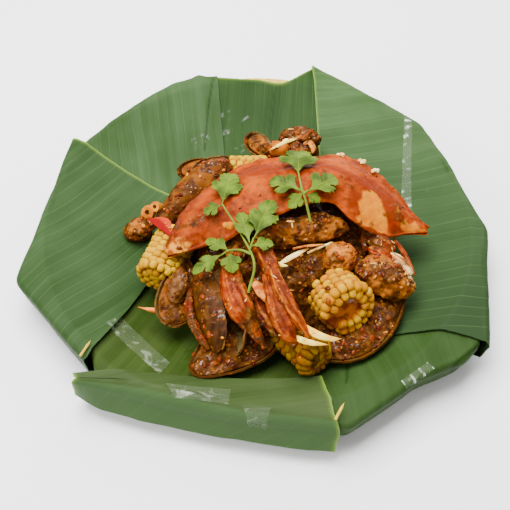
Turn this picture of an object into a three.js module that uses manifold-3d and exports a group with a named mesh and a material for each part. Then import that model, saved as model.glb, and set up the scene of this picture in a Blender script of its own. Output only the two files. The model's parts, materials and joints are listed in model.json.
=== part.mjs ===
// A cooked crab platter: a round bamboo tray lined with folded banana leaves, and on it a crab in
// chilli sauce with corn, mussels, chilli and coriander.
// Millimetres. +X is to the right, +Y to the back, +Z up; the tray's flat foot is centred on the origin.
import * as THREE from "three";
import { mergeVertices } from "three/addons/utils/BufferGeometryUtils.js";
import Module from "manifold-3d";

const wasm = await Module();
wasm.setup();

// ---------- Driving sizes ----------
const GAP = 0.35; // left between two pieces that touch

const TRAY_FOOT_RADIUS = 112;
const TRAY_RIM_RADIUS = 158.8;
const TRAY_HEIGHT = 24;
const TRAY_WALL = 2.4;
const TRAY_HOOP_RADIUS = 2.8;
const TRAY_SIDES = 26;
const TRAY_BULGE = 0.05; // share by which the rim is drawn out at the very back

const LEAF_THICKNESS = 0.8;
const LEAF_LAYER = 1.6; // rise of each leaf over the one below it
const LEAF_FLOOR = 4; // top of the lowest leaf in the middle of the dish
const LEAF_RIM = 29.5; // and over the rim
const LEAF_FLAT_RADIUS = 88;
const LEAF_RIM_RADIUS = 160;
const LEAF_SLOPE_POWER = 1.5;
const LEAF_FOLD = 4; // radius of the fold over the rim
const LEAF_HANG = 12; // height of the hanging edge above the ground
const LEAF_TUCK = 12;
const LEAF_COLUMN = 40; // widest column of a leaf's grid
const LEAF_ROWS = 5;
const LEAF_ROW_CROWDING = 1.8; // above 1, the rows draw together towards the rim

const CARAPACE_THICKNESS = 2.2;
const CARAPACE_BULGE = 11;
const CARAPACE_TOOTH = 2.4;
const CARAPACE_COLUMNS = 24;
const CARAPACE_ROWS = 6;

const COB_RADIUS = 21;
const COB_KERNEL_DEPTH = 2.6;
const COB_KERNEL_LENGTH = 5.6;
const COB_ROWS = 14;

const SHELL_WALL = 1.3;
const MUSSEL_LENGTH = 52;
const MUSSEL_WIDTH = 30;
const MUSSEL_DEPTH = 9;
const HALF_SHELL_LENGTH = 80;
const HALF_SHELL_SHORT = 68;
const VALVE_WIDEST = 0.62; // share of a valve's length where it is widest
const HALF_SHELL_WIDTH = 42;
const HALF_SHELL_DEPTH = 8;

const CLAW_ARM_RADIUS = 7.6;
const CLAW_HAND_RADIUS = 9.5;
const CLAW_FINGER_RADIUS = 2.9;
const LEG_RADIUS = 7.8;

const LEAFLET_THICKNESS = 0.7;
const LEAFLET_POINTS = 12;
const STEM_RADIUS = 0.9;
const PIN_RADIUS = 0.9;

const HEAP_CENTRE = [14, -20];
const HEAP_RADII = [88, 72];
const HEAP_HEIGHT = 46;
const HEAP_GRID = 9;
const HEAP_CLEARANCE = 1.2;
const HEAP_PROBE = 5; // distance of the side probes for what lies over a point of the heap
const HEAP_PROBES = [[0, 0], [1, 0], [-1, 0], [0, 1], [0, -1]];

// ---------- Small helpers ----------
const point = (x, y, z = 0) => new THREE.Vector3(x, y, z);
const points = (list) => list.map((p) => point(...p));
const TURN = 2 * Math.PI;

function finish(color, roughness) {
  return new THREE.MeshStandardMaterial({ color, roughness, metalness: 0 });
}

// A closed mesh from its corners and triangles, turned outwards.
function closedMesh(corners, triangles) {
  let volume = 0;
  for (let k = 0; k < triangles.length; k += 3) {
    const [a, b, c] = triangles.slice(k, k + 3).map((i) => corners[i]);
    volume += a.dot(b.clone().cross(c));
  }
  if (volume < 0) triangles.reverse();
  const geometry = new THREE.BufferGeometry().setFromPoints(corners);
  geometry.setIndex(triangles);
  return geometry;
}

const quad = (triangles, a, b, c, d) => triangles.push(a, b, c, a, c, d);

// The solid between two grids of points, both split into triangles alike.
function gridSolid(columns, rows, top, bottom) {
  const stride = columns + 1;
  const count = stride * (rows + 1);
  const triangles = [];
  for (let j = 0; j < rows; j++) {
    for (let i = 0; i < columns; i++) {
      const a = j * stride + i;
      quad(triangles, a, a + 1, a + stride + 1, a + stride);
      quad(triangles, count + a, count + a + stride, count + a + stride + 1, count + a + 1);
    }
  }
  for (let i = 0; i < columns; i++) {
    const far = rows * stride + i;
    quad(triangles, count + i, count + i + 1, i + 1, i);
    quad(triangles, far, far + 1, count + far + 1, count + far);
  }
  for (let j = 0; j < rows; j++) {
    const left = j * stride;
    const right = left + columns;
    quad(triangles, left, left + stride, count + left + stride, count + left);
    quad(triangles, count + right, count + right + stride, right + stride, right);
  }
  return closedMesh([...top, ...bottom], triangles);
}

function gridPoints(columns, rows, at) {
  const list = [];
  for (let j = 0; j <= rows; j++) {
    for (let i = 0; i <= columns; i++) list.push(at(i / columns, j / rows));
  }
  return list;
}

// A sheet of even thickness below the surface at(u, v).
function sheet(columns, rows, at, thickness) {
  const top = gridPoints(columns, rows, at);
  const stride = columns + 1;
  const bottom = top.map((p, k) => {
    const i = k % stride;
    const j = Math.floor(k / stride);
    const cell = (m, n) => top[n * stride + m];
    const du = cell(Math.min(i + 1, columns), j).clone().sub(cell(Math.max(i - 1, 0), j));
    const dv = cell(i, Math.min(j + 1, rows)).clone().sub(cell(i, Math.max(j - 1, 0)));
    return p.clone().addScaledVector(du.cross(dv).normalize(), -thickness);
  });
  return gridSolid(columns, rows, top, bottom);
}

// A closed skin of rings about a line, with a pole at each end.
function ringSolid(sides, rings, at) {
  const corners = [at(0, 0)];
  for (let j = 1; j < rings; j++) {
    for (let i = 0; i < sides; i++) corners.push(at(j / rings, (i / sides) * TURN));
  }
  corners.push(at(1, 0));
  const last = corners.length - 1;
  const corner = (j, i) => 1 + (j - 1) * sides + (i % sides);
  const triangles = [];
  for (let i = 0; i < sides; i++) {
    triangles.push(0, corner(1, i + 1), corner(1, i));
    triangles.push(last, corner(rings - 1, i), corner(rings - 1, i + 1));
    for (let j = 1; j < rings - 1; j++) {
      quad(triangles, corner(j, i), corner(j, i + 1), corner(j + 1, i + 1), corner(j + 1, i));
    }
  }
  return closedMesh(corners, triangles);
}

// The point at share s of a broken line's length.
function alongLine(line, s) {
  const lengths = line.slice(1).map((p, i) => p.distanceTo(line[i]));
  let left = s * lengths.reduce((sum, length) => sum + length, 0);
  for (let i = 0; i < lengths.length - 1; i++) {
    if (left <= lengths[i]) return line[i].clone().lerp(line[i + 1], left / lengths[i]);
    left -= lengths[i];
  }
  const end = lengths.length - 1;
  return line[end].clone().lerp(line[end + 1], Math.min(left / lengths[end], 1));
}

// Shares of a broken line's length that include its corners, none further apart than step.
function stationsOf(line, step) {
  const total = line.slice(1).reduce((sum, p, i) => sum + p.distanceTo(line[i]), 0);
  const stations = [0];
  let walked = 0;
  for (let i = 1; i < line.length; i++) {
    const length = line[i].distanceTo(line[i - 1]);
    const parts = Math.ceil(length / step);
    for (let k = 1; k <= parts; k++) stations.push((walked + (k / parts) * length) / total);
    walked += length;
  }
  return stations;
}

// Uneven bumps between -1 and 1, the same on every run.
function bumps(p, scale, seed) {
  const q = p.clone().multiplyScalar(1 / scale);
  const first = Math.sin(1.7 * q.x + 2.3 * q.y + seed) * Math.cos(1.9 * q.z - 1.1 * q.x + 2 * seed);
  const second = Math.sin(3.1 * q.y - 2.7 * q.z + 3 * seed) * Math.cos(3.7 * q.x + 1.3 * seed);
  return 0.6 * first + 0.4 * second;
}

// ---------- Placing ----------
const platter = new THREE.Group();

function add(name, geometry, material) {
  const mesh = new THREE.Mesh(geometry, material);
  mesh.name = name;
  platter.add(mesh);
  return mesh;
}

// Turns a mesh so that its own X runs from one point to another, with its Z rolled from upright.
function lay(mesh, from, to, roll) {
  const start = point(...from);
  const end = point(...to);
  const x = end.clone().sub(start).normalize();
  const y = point(0, 0, 1).cross(x).normalize();
  const z = x.clone().cross(y);
  mesh.quaternion.setFromRotationMatrix(new THREE.Matrix4().makeBasis(x, y, z));
  mesh.rotateX(THREE.MathUtils.degToRad(roll));
  mesh.position.copy(start.add(end).multiplyScalar(0.5));
  return mesh;
}

// ---------- Tray ----------
function tray() {
  const profile = [new THREE.Vector2(0, 0)];
  const steps = 2;
  const wallPoint = (share) => {
    const r = THREE.MathUtils.lerp(TRAY_FOOT_RADIUS, TRAY_RIM_RADIUS, share);
    return new THREE.Vector2(r, (TRAY_HEIGHT - TRAY_WALL) * share ** 1.25);
  };
  for (let k = 0; k <= steps; k++) profile.push(wallPoint(k / steps));
  for (let k = 0; k <= 3; k++) {
    const angle = -Math.PI / 4 + (k / 3) * Math.PI;
    const r = TRAY_RIM_RADIUS + TRAY_HOOP_RADIUS * Math.cos(angle);
    profile.push(new THREE.Vector2(r, TRAY_HEIGHT + TRAY_HOOP_RADIUS * Math.sin(angle)));
  }
  for (let k = steps - 1; k >= 0; k--) {
    profile.push(wallPoint(k / steps).add(new THREE.Vector2(-TRAY_WALL / 2, TRAY_WALL)));
  }
  profile.push(new THREE.Vector2(0, TRAY_WALL));
  const geometry = new THREE.LatheGeometry(profile, TRAY_SIDES);
  const position = geometry.getAttribute("position");
  for (let i = 0; i < position.count; i++) {
    const r = Math.hypot(position.getX(i), position.getZ(i));
    const back = Math.max(0, -position.getZ(i) / Math.max(r, 1));
    const share = Math.max(0, (r - TRAY_FOOT_RADIUS) / (TRAY_RIM_RADIUS - TRAY_FOOT_RADIUS));
    position.setZ(i, position.getZ(i) * (1 + TRAY_BULGE * share * back ** 4));
  }
  const mesh = add("tray", geometry, finish(0xc9a25e, 0.6));
  mesh.rotateX(Math.PI / 2);
  return mesh;
}

// ---------- Banana leaves ----------
// Height of the leaves' common bowl, flat in the middle and level past the rim.
function bowl(p) {
  const r = Math.hypot(p.x, p.y);
  const slope = (r - LEAF_FLAT_RADIUS) / (LEAF_RIM_RADIUS - LEAF_FLAT_RADIUS);
  const share = THREE.MathUtils.clamp(slope, 0, 1);
  return LEAF_FLOOR + (LEAF_RIM - LEAF_FLOOR) * share ** LEAF_SLOPE_POWER;
}

// A leaf runs from its inner line over the outer fold line and down to its hanging edge.
// Both lines run clockwise, and arch lifts and draws in the free edge at the outer line's end.
function leaf(name, { inner, outer, hang, layer, wraps = true, arch = 0 }) {
  const innerLine = points(inner);
  const outerLine = points(outer);
  const hangLine = hang ? points(hang) : outerLine.map((p) => p.clone().multiplyScalar(0.985));
  const stations = stationsOf(outerLine, LEAF_COLUMN);
  const columns = stations.length - 1;
  const rows = wraps ? LEAF_ROWS + 4 : LEAF_ROWS;
  const lift = layer * LEAF_LAYER;
  const at = (u, v) => {
    const s = stations[Math.round(u * columns)];
    const row = Math.round(v * rows);
    const fold = alongLine(outerLine, s);
    const out = fold.clone().normalize();
    const crest = bowl(fold) + lift;
    if (row <= LEAF_ROWS) {
      const share = 1 - (1 - row / LEAF_ROWS) ** LEAF_ROW_CROWDING;
      const edge = fold.clone().addScaledVector(out, wraps ? -LEAF_FOLD : 0);
      const p = alongLine(innerLine, s).lerp(edge, share);
      const bow = arch * s ** 6 * Math.sin(Math.PI * share);
      p.y += bow;
      return p.setZ(bowl(p) + lift + bow / 3);
    }
    const hem = alongLine(hangLine, s).setZ(LEAF_HANG);
    const drop = crest - LEAF_FOLD;
    const shoulder = fold.clone().addScaledVector(out, -0.3 * LEAF_FOLD).setZ(crest - 0.3 * LEAF_FOLD);
    const wall = fold.clone().setZ(drop);
    const tuck = hem.clone().addScaledVector(out, -LEAF_TUCK).setZ(LEAF_HANG - 3);
    const rest = [shoulder, wall, hem, tuck];
    return rest[row - LEAF_ROWS - 1];
  };
  return add(name, sheet(columns, rows, at, LEAF_THICKNESS), finish(0x4f7d3c, 0.45));
}

function leaves() {
  leaf("leaf_base", {
    inner: [[108, -48], [76, 76], [-70, 64]],
    outer: [[20, -165], [-20, -163], [-60, -153], [-108, -135], [-112, -119], [-145, -82]],
    layer: 0,
  });
  leaf("leaf_back_middle", {
    inner: [[-30, 44], [14, 42], [62, 44]],
    outer: [[-42, 165], [2, 160.5], [16, 156.5], [29, 151], [46, 150]],
    layer: 1,
    wraps: false,
  });
  leaf("leaf_front_right", {
    inner: [[92, -66], [62, -80], [28, -92]],
    outer: [[148, -75], [151, -111], [137, -125], [106, -137.5], [92, -149], [57, -173.5], [36, -168]],
    layer: 1,
  });
  leaf("leaf_back_left", {
    inner: [[-68, 20], [-48, 34], [-24, 46]],
    outer: [[-151, 62], [-142, 84], [-117, 116], [-94, 141], [-73, 159], [-57, 163.5], [-36, 166.5]],
    layer: 2,
  });
  leaf("leaf_right", {
    inner: [[54, 58], [78, 20], [84, -40], [94, -98]],
    outer: [[50, 182], [138, 105], [153, 61], [173, -11], [156, -113]],
    layer: 2,
    arch: 3,
  });
  leaf("leaf_left", {
    inner: [[-80, -40], [-66, 0], [-60, 38]],
    outer: [[-116, -126], [-173, -60], [-153, 85]],
    layer: 3,
  });
  leaf("leaf_front_strip", {
    inner: [[28, -134], [-45, -133], [-98, -133], [-121, -136]],
    outer: [[51, -175], [-15, -167], [-70, -153], [-121, -142]],
    hang: [[49, -181], [22, -178.5], [-26, -171], [-51, -165], [-77, -159], [-109, -149], [-123, -140]],
    layer: 3,
  });
}

// ---------- Crab ----------
// The back shell is a patch between its front and rear margins, each listed from the left tip to the right.
const CARAPACE_FRONT = points([
  [-67, -43, 49], [-59, -26, 54], [-49, -7, 57], [-32, 11, 58], [-13, 26, 59], [9, 33, 61], [36, 34, 61],
  [63, 37, 59], [83, 26, 55], [97, 11, 51], [108, -6, 48], [115, -16, 45], [125, -19, 42.5],
]);
const CARAPACE_REAR = points([
  [-64, -47, 47], [-51, -45, 48], [-37, -43, 51], [-25, -40, 56], [-13, -36, 62], [8, -27, 69],
  [33, -23, 73], [53, -21, 72], [63, -29, 64], [80, -33, 55], [96, -31, 47], [107, -26, 44], [124, -23, 41.5],
]);

function carapace() {
  const front = new THREE.CatmullRomCurve3(CARAPACE_FRONT);
  const rear = new THREE.CatmullRomCurve3(CARAPACE_REAR);
  const at = (u, v) => {
    const fore = front.getPoint(u);
    const aft = rear.getPoint(u);
    const across = Math.sin(Math.PI * u) ** 0.7;
    const tooth = Math.round(u * CARAPACE_COLUMNS) % 2 ? CARAPACE_TOOTH * across : 0;
    const p = aft.clone().lerp(fore, v);
    const forward = fore.clone().sub(aft).normalize();
    p.addScaledVector(forward, v === 1 ? tooth : 0);
    p.z += CARAPACE_BULGE * across * Math.sin(Math.PI * v);
    return p;
  };
  const shell = sheet(CARAPACE_COLUMNS, CARAPACE_ROWS, at, CARAPACE_THICKNESS);
  return add("carapace", shell, finish(0xd9662c, 0.35));
}

// A limb is a closed skin round a curve; radius(t) gives its half width, flat its height over its width.
function limb(name, spine, radius, flat, material, sides = 10, rings = 8) {
  const curve = new THREE.CatmullRomCurve3(points(spine));
  const at = (t, angle) => {
    const forward = curve.getTangent(t);
    const side = forward.clone().cross(point(0, 0, 1)).normalize();
    const up = side.clone().cross(forward);
    const r = radius(t) * Math.sqrt(Math.max(0, Math.sin(Math.PI * t ** 0.9))) ** 0.5;
    const ridge = 1 + 0.08 * Math.cos(3 * angle);
    return curve
      .getPoint(t)
      .addScaledVector(side, r * ridge * Math.cos(angle))
      .addScaledVector(up, r * ridge * flat * Math.sin(angle));
  };
  return add(name, ringSolid(sides, rings, at), material);
}

function claws() {
  const shellRed = finish(0xc9501f, 0.35);
  const fingertip = finish(0xeccfa0, 0.4);
  const taper = (start, end) => (t) => THREE.MathUtils.lerp(start, end, t);
  limb("claw_right_arm", [[-1, -46, 60], [4, -57, 61], [10, -74, 60]], () => CLAW_ARM_RADIUS, 0.8, shellRed);
  limb(
    "claw_right_hand",
    [[7, -67, 58], [13, -86, 58], [18, -103, 56], [25, -119, 52]],
    taper(0.8 * CLAW_HAND_RADIUS, CLAW_HAND_RADIUS),
    0.75,
    shellRed,
    12,
    9,
  );
  limb(
    "claw_right_finger",
    [[27, -110.5, 53.5], [40, -118.5, 52], [54, -119.8, 50.5]],
    taper(CLAW_FINGER_RADIUS, 0.5),
    0.8,
    fingertip,
    8,
    6,
  );
  limb(
    "claw_right_thumb",
    [[22, -118.5, 51], [34, -122.6, 50], [45.5, -123.8, 49.5]],
    taper(0.9 * CLAW_FINGER_RADIUS, 0.5),
    0.8,
    fingertip,
    8,
    6,
  );
  limb(
    "claw_left_hand",
    [[-21, -58, 50], [-15, -86, 47], [-6, -102, 41], [5, -116, 32]],
    (t) => CLAW_HAND_RADIUS * (0.92 - 0.64 * t ** 3),
    0.8,
    shellRed,
    12,
    9,
  );
  const tip = [[-66, -83, 27], [-76, -80, 25], [-85, -77, 24]];
  limb("leg_tip", tip, taper(2.6, 0.5), 1, finish(0xd98a4a, 0.4), 8, 6);
}

function legs() {
  const darkShell = finish(0x7a2c1c, 0.35);
  const paleShell = finish(0xe9cfa4, 0.4);
  const slimmer = (share) => () => share * LEG_RADIUS;
  limb("leg_right_upper", [[77, -26, 46], [87, -37, 46], [95, -45, 44]], slimmer(1), 0.8, darkShell, 8, 6);
  const middle = [[93.5, -46, 45.5], [100.7, -53.9, 45], [107.5, -62.5, 42]];
  const lower = [[94, -67, 40], [102, -69, 40], [109, -70, 37.5]];
  limb("leg_right_middle", middle, slimmer(0.6), 0.8, paleShell, 8, 6);
  limb("leg_right_lower", lower, slimmer(0.6), 0.8, paleShell, 8, 6);
}

// A rough lump, such as a piece of the crab's body under its sauce.
function lump(name, radii, detail, seed, material) {
  const ball = new THREE.IcosahedronGeometry(1, detail);
  ball.deleteAttribute("normal");
  ball.deleteAttribute("uv");
  const geometry = mergeVertices(ball, 1e-4);
  const position = geometry.getAttribute("position");
  const corner = new THREE.Vector3();
  for (let i = 0; i < position.count; i++) {
    corner.fromBufferAttribute(position, i);
    corner.multiplyScalar(1 + 0.13 * bumps(corner, 0.8, seed));
    corner.multiply(point(...radii));
    position.setXYZ(i, corner.x, corner.y, corner.z);
  }
  return add(name, geometry, material);
}

function bodyPieces() {
  const meat = finish(0x8a4420, 0.3);
  lay(lump("body_middle", [33, 12, 12], 2, 1, meat), [2, -34, 49], [62, -26, 54], 15);
  lay(lump("body_left", [12, 10, 8], 1, 4, meat), [-25, -38, 44], [-4, -43, 45], 0);
  const knuckle = lump("body_right_knuckle", [12.5, 12, 11.5], 2, 6, finish(0xb06a30, 0.35));
  lay(knuckle, [49.5, -50, 45], [65.5, -50, 45], 0);
  lay(lump("body_right", [22, 14, 12], 2, 8, meat), [72, -56, 44], [103, -71, 37], 0);
  lay(lump("shell_sliver", [13, 3, 1.6], 1, 9, finish(0xe8dcc8, 0.4)), [13, -64, 56], [35, -50, 57.5], -20);
}

// ---------- Corn ----------
// Each kernel is a low pyramid, four triangles over the cob's furrows.
function cob(name, length, radius, from, to, roll) {
  const along = Math.round(length / COB_KERNEL_LENGTH);
  const corners = [];
  const ringPoint = (share, turn, r) => {
    const angle = (turn / COB_ROWS) * TURN;
    return point((share - 0.5) * length, r * Math.cos(angle), r * Math.sin(angle));
  };
  for (let j = 0; j <= along; j++) {
    for (let i = 0; i < COB_ROWS; i++) corners.push(ringPoint(j / along, i, radius - COB_KERNEL_DEPTH));
  }
  const crowns = corners.length;
  for (let j = 0; j < along; j++) {
    for (let i = 0; i < COB_ROWS; i++) corners.push(ringPoint((j + 0.5) / along, i + 0.5, radius));
  }
  const ends = corners.length;
  corners.push(ringPoint(0, 0, 0), ringPoint(1, 0, 0));
  const triangles = [];
  for (let i = 0; i < COB_ROWS; i++) {
    const next = (i + 1) % COB_ROWS;
    const far = along * COB_ROWS;
    triangles.push(ends, next, i, ends + 1, far + i, far + next);
    for (let j = 0; j < along; j++) {
      const loop = [j * COB_ROWS + i, j * COB_ROWS + next, (j + 1) * COB_ROWS + next, (j + 1) * COB_ROWS + i];
      const crown = crowns + j * COB_ROWS + i;
      loop.forEach((corner, k) => triangles.push(corner, loop[(k + 1) % 4], crown));
    }
  }
  const mesh = add(name, closedMesh(corners, triangles), finish(0xf2c443, 0.35));
  mesh.userData.envelope = new THREE.CylinderGeometry(radius, radius, length, COB_ROWS).rotateZ(Math.PI / 2);
  return lay(mesh, from, to, roll);
}

function corn() {
  cob("corn_left", 46, 0.86 * COB_RADIUS, [-59, -14, 31], [-75, -54, 29], 0);
  cob("corn_right", 32, COB_RADIUS, [57, -75, 33], [54.5, -93, 54], 0);
  cob("corn_front", 34, 0.6 * COB_RADIUS, [15, -96, 25.5], [39, -125.5, 33], 0);
  cob("corn_back", 28, 0.76 * COB_RADIUS, [-19, 45, 30], [5, 46, 30], 0);
}

// ---------- Mussels and half shells ----------
// Half width of a valve at share u of its length: narrow at the hinge, round at the lip.
function valveOutline(u) {
  if (u < VALVE_WIDEST) return 0.16 + 0.84 * Math.sin((TURN / 4) * (u / VALVE_WIDEST)) ** 0.8;
  return Math.max(0.16, Math.sqrt(Math.max(0, 1 - ((u - VALVE_WIDEST) / (1.01 - VALVE_WIDEST)) ** 2)));
}

// An open valve: the hollow looks along +Z and the hinge is at -X.
function valve(name, length, width, depth, material, columns = 7, rows = 4) {
  const at = (u, v) => {
    const half = (width / 2) * valveOutline(u);
    const across = 2 * v - 1;
    const hollow = (1 - Math.abs(across) ** 2.4) * Math.sin(Math.PI * u) ** 0.6;
    return point((u - 0.5) * length, across * half + 0.06 * width * Math.sin(Math.PI * u), -depth * hollow);
  };
  return add(name, sheet(columns, rows, at, SHELL_WALL), material);
}

// What lies in an open valve: its underside follows the hollow, its top is domed.
function filling(name, length, width, depth, dome, material, columns = 6, rows = 4) {
  const side = (height) => (u, v) => {
    const half = (width / 2 - SHELL_WALL) * 0.86 * valveOutline(u);
    const across = 2 * v - 1;
    const swell = (1 - Math.abs(across) ** 2.4) * Math.sin(Math.PI * u) ** 0.6;
    const skew = 0.06 * width * Math.sin(Math.PI * u);
    return point((u - 0.5) * 0.86 * length, across * half + skew, height * swell - 0.1 * depth);
  };
  const top = gridPoints(columns, rows, side(dome));
  const bottom = gridPoints(columns, rows, (u, v) => side(-0.72 * depth)(u, v).sub(point(0, 0, 0.8)));
  return add(name, gridSolid(columns, rows, top, bottom), material);
}

function mussels() {
  const shell = finish(0x5a4128, 0.35);
  const pale = finish(0xa98a55, 0.35);
  const meat = finish(0xc07a3a, 0.3);
  const sauce = finish(0x6b2a14, 0.25);
  const size = [MUSSEL_LENGTH, MUSSEL_WIDTH, MUSSEL_DEPTH];
  const openMussel = [[-52, -44, 35], [-61, -92, 26], -22];
  lay(valve("mussel_left_shell", ...size, shell), ...openMussel);
  lay(filling("mussel_left_meat", ...size, 4, meat), ...openMussel);
  const middle = [72, 28, 9];
  lay(valve("mussel_middle_shell_a", ...middle, shell), [-40, -47, 40], [-25, -119, 33], -128);
  lay(valve("mussel_middle_shell_b", ...middle, pale), [-29, -50, 37], [-14, -118, 31], 58);
  lay(valve("mussel_long_shell", 72, 30, 8, shell), [-77, 0, 24], [-22, 42, 48], 215);
  lay(valve("mussel_back_shell_a", 34, 22, 7, pale), [-24, 66, 25], [-49, 53, 23], -20);
  lay(valve("mussel_back_shell_b", 26, 17, 6, shell), [-46, 72, 19], [-61, 58, 19], -15);
  lay(valve("mussel_back_shell_c", 30, 20, 6, shell), [0, 77, 22], [3, 99, 22], 40);
  const half = [HALF_SHELL_LENGTH, HALF_SHELL_WIDTH, HALF_SHELL_DEPTH];
  const smallHalf = [HALF_SHELL_SHORT, HALF_SHELL_WIDTH, HALF_SHELL_DEPTH];
  const leftHalf = [[-43, -130, 26], [11, -92, 23], -3];
  lay(valve("half_shell_left", ...smallHalf, shell), ...leftHalf);
  lay(filling("half_shell_left_sauce", ...smallHalf, 3, sauce), ...leftHalf);
  const rightHalf = [[98.5, -61.5, 31], [40.5, -117.5, 28], -4];
  lay(valve("half_shell_right", ...half, shell), ...rightHalf);
  lay(filling("half_shell_right_sauce", ...half, 4, sauce), ...rightHalf);
}

// ---------- Toppings ----------
function backPieces() {
  const meat = finish(0x8f4a22, 0.3);
  lay(lump("back_chunk", [21, 11, 11], 2, 11, meat), [11, 96, 22], [47, 99, 21], 0);
  lay(lump("back_claw", [16, 9, 9], 2, 13, finish(0xcf6a2c, 0.3)), [8, 62, 34], [36, 64, 35], 0);
  lay(lump("left_chunk", [13, 9, 8], 1, 15, meat), [-101, -6, 20], [-78, 6, 21], 0);
}

function squidRing() {
  const ring = new THREE.LatheGeometry(
    [[2.2, -4], [5.4, -4], [5.8, 0], [5.2, 4], [2, 4], [2.2, -4]].map((p) => new THREE.Vector2(...p)),
    12,
  );
  return lay(add("squid_ring", ring, finish(0xe0a548, 0.3)), [-90, 18, 24], [-78, 15, 25], 50);
}

function chilli() {
  const strip = (length, width) => (u, v) => {
    const across = (v - 0.5) * width * Math.sin(Math.PI * (0.1 + 0.8 * u));
    return point((u - 0.5) * length, across, 1.5 - 6 * (v - 0.5) ** 2);
  };
  const red = finish(0xc4202c, 0.25);
  lay(add("chilli_left", sheet(5, 3, strip(21, 9), 1), red), [-77, 6, 40], [-62, -9, 43], 10);
}

// A coriander leaflet: a thin plate with three lobes that fans out along +X from its foot at the origin.
function leaflet(length, width) {
  const outline = [];
  for (let k = 0; k < LEAFLET_POINTS; k++) {
    const angle = (k / LEAFLET_POINTS) * TURN;
    const r = 0.76 + 0.2 * Math.cos(3 * angle) + 0.08 * Math.cos(8 * angle);
    const x = 0.61 * length * (r * Math.cos(angle) + 0.58);
    outline.push(new THREE.Vector2(x, 0.62 * width * r * Math.sin(angle)));
  }
  const plate = new THREE.Shape(outline);
  return new THREE.ExtrudeGeometry(plate, { depth: LEAFLET_THICKNESS, bevelEnabled: false, steps: 1 });
}

function stem(spine, steps) {
  const sides = 4;
  const section = new THREE.Shape();
  for (let k = 0; k < sides; k++) {
    const angle = (k / sides) * TURN;
    const corner = [STEM_RADIUS * Math.cos(angle), STEM_RADIUS * Math.sin(angle)];
    if (k) section.lineTo(...corner);
    else section.moveTo(...corner);
  }
  const curve = new THREE.CatmullRomCurve3(points(spine));
  return new THREE.ExtrudeGeometry(section, { extrudePath: curve, steps, bevelEnabled: false });
}

// A geometry's triangles as a manifold solid.
function solidOf(geometry) {
  const bare = new THREE.BufferGeometry().setAttribute("position", geometry.getAttribute("position"));
  if (geometry.index) bare.setIndex(geometry.index);
  const merged = mergeVertices(bare, 1e-3);
  const triVerts = new Uint32Array(merged.index.array);
  const vertProperties = new Float32Array(merged.getAttribute("position").array);
  return new wasm.Manifold(new wasm.Mesh({ numProp: 3, vertProperties, triVerts }));
}

function geometryOf(solid) {
  const mesh = solid.getMesh();
  const geometry = new THREE.BufferGeometry();
  geometry.setAttribute("position", new THREE.BufferAttribute(new Float32Array(mesh.vertProperties), 3));
  geometry.setIndex(new THREE.BufferAttribute(new Uint32Array(mesh.triVerts), 1));
  return geometry;
}

// A sprig joins its stems and leaflets. Each leaflet runs from its foot to its tip, with its width.
function sprig(name, stems, leaflets) {
  let whole = null;
  const join = (solid) => {
    whole = whole ? whole.add(solid) : solid;
  };
  for (const spine of stems) join(solidOf(stem(spine, spine.length)));
  for (const [foot, tip, width] of leaflets) {
    const length = point(...foot).distanceTo(point(...tip));
    const plate = new THREE.Mesh(leaflet(length, width).translate(-length / 2, 0, 0));
    lay(plate, foot, tip, 0).updateMatrix();
    join(solidOf(plate.geometry.applyMatrix4(plate.matrix)));
  }
  return add(name, geometryOf(whole), finish(0x86b560, 0.5));
}

function coriander() {
  sprig(
    "coriander_left",
    [
      [[0, -92, 54], [3, -82, 66], [-2, -70, 72], [-12, -53, 78], [-21, -38, 80]],
      [[-4, -67, 74], [0, -61, 77], [3, -54, 80]],
      [[-1, -71, 72], [-10, -64, 69], [-24, -62, 66]],
    ],
    [
      [[-20, -40, 79], [-26, 2, 79], 31],
      [[-20, -38, 79], [-36, -32, 74], 14],
      [[-1, -63, 76], [-6, -34, 82], 13],
      [[2, -57, 79], [16, -32, 86], 17],
      [[1, -58, 78], [15, -55, 74], 12],
      [[-17, -63, 67], [-30, -50, 66], 12],
      [[-9, -66, 68], [-15, -76, 63], 14],
      [[-22, -62, 66], [-45, -69, 60], 13],
    ],
  );
  sprig(
    "coriander_right",
    [
      [[35, -40, 73], [31, -29, 86], [30, -24, 90], [27, -10, 91]],
      [[29, -28, 88], [36, -22, 91], [40, -18, 91]],
      [[30, -26, 88], [24, -22, 90], [20, -20, 90]],
    ],
    [
      [[27, -12, 90], [12, 14, 88], 14],
      [[27, -12, 90], [39, 5, 91], 17],
      [[22, -21, 90], [4, -13, 88], 18],
      [[37, -21, 91], [55, -7, 90], 20],
      [[35, -23, 90], [51, -30, 88], 15],
      [[24, -23, 89], [18, -41, 84], 16],
    ],
  );
}

function pins() {
  const wood = finish(0xc8a46a, 0.6);
  const pin = () => new THREE.CylinderGeometry(PIN_RADIUS, PIN_RADIUS, 13, 8).rotateZ(Math.PI / 2);
  lay(add("pin_front", pin(), wood), [48, -170, 37], [54, -159, 37], 0);
  lay(add("pin_left", pin(), wood), [-117, -124, 36.5], [-112, -113, 36.5], 0);
}

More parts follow.
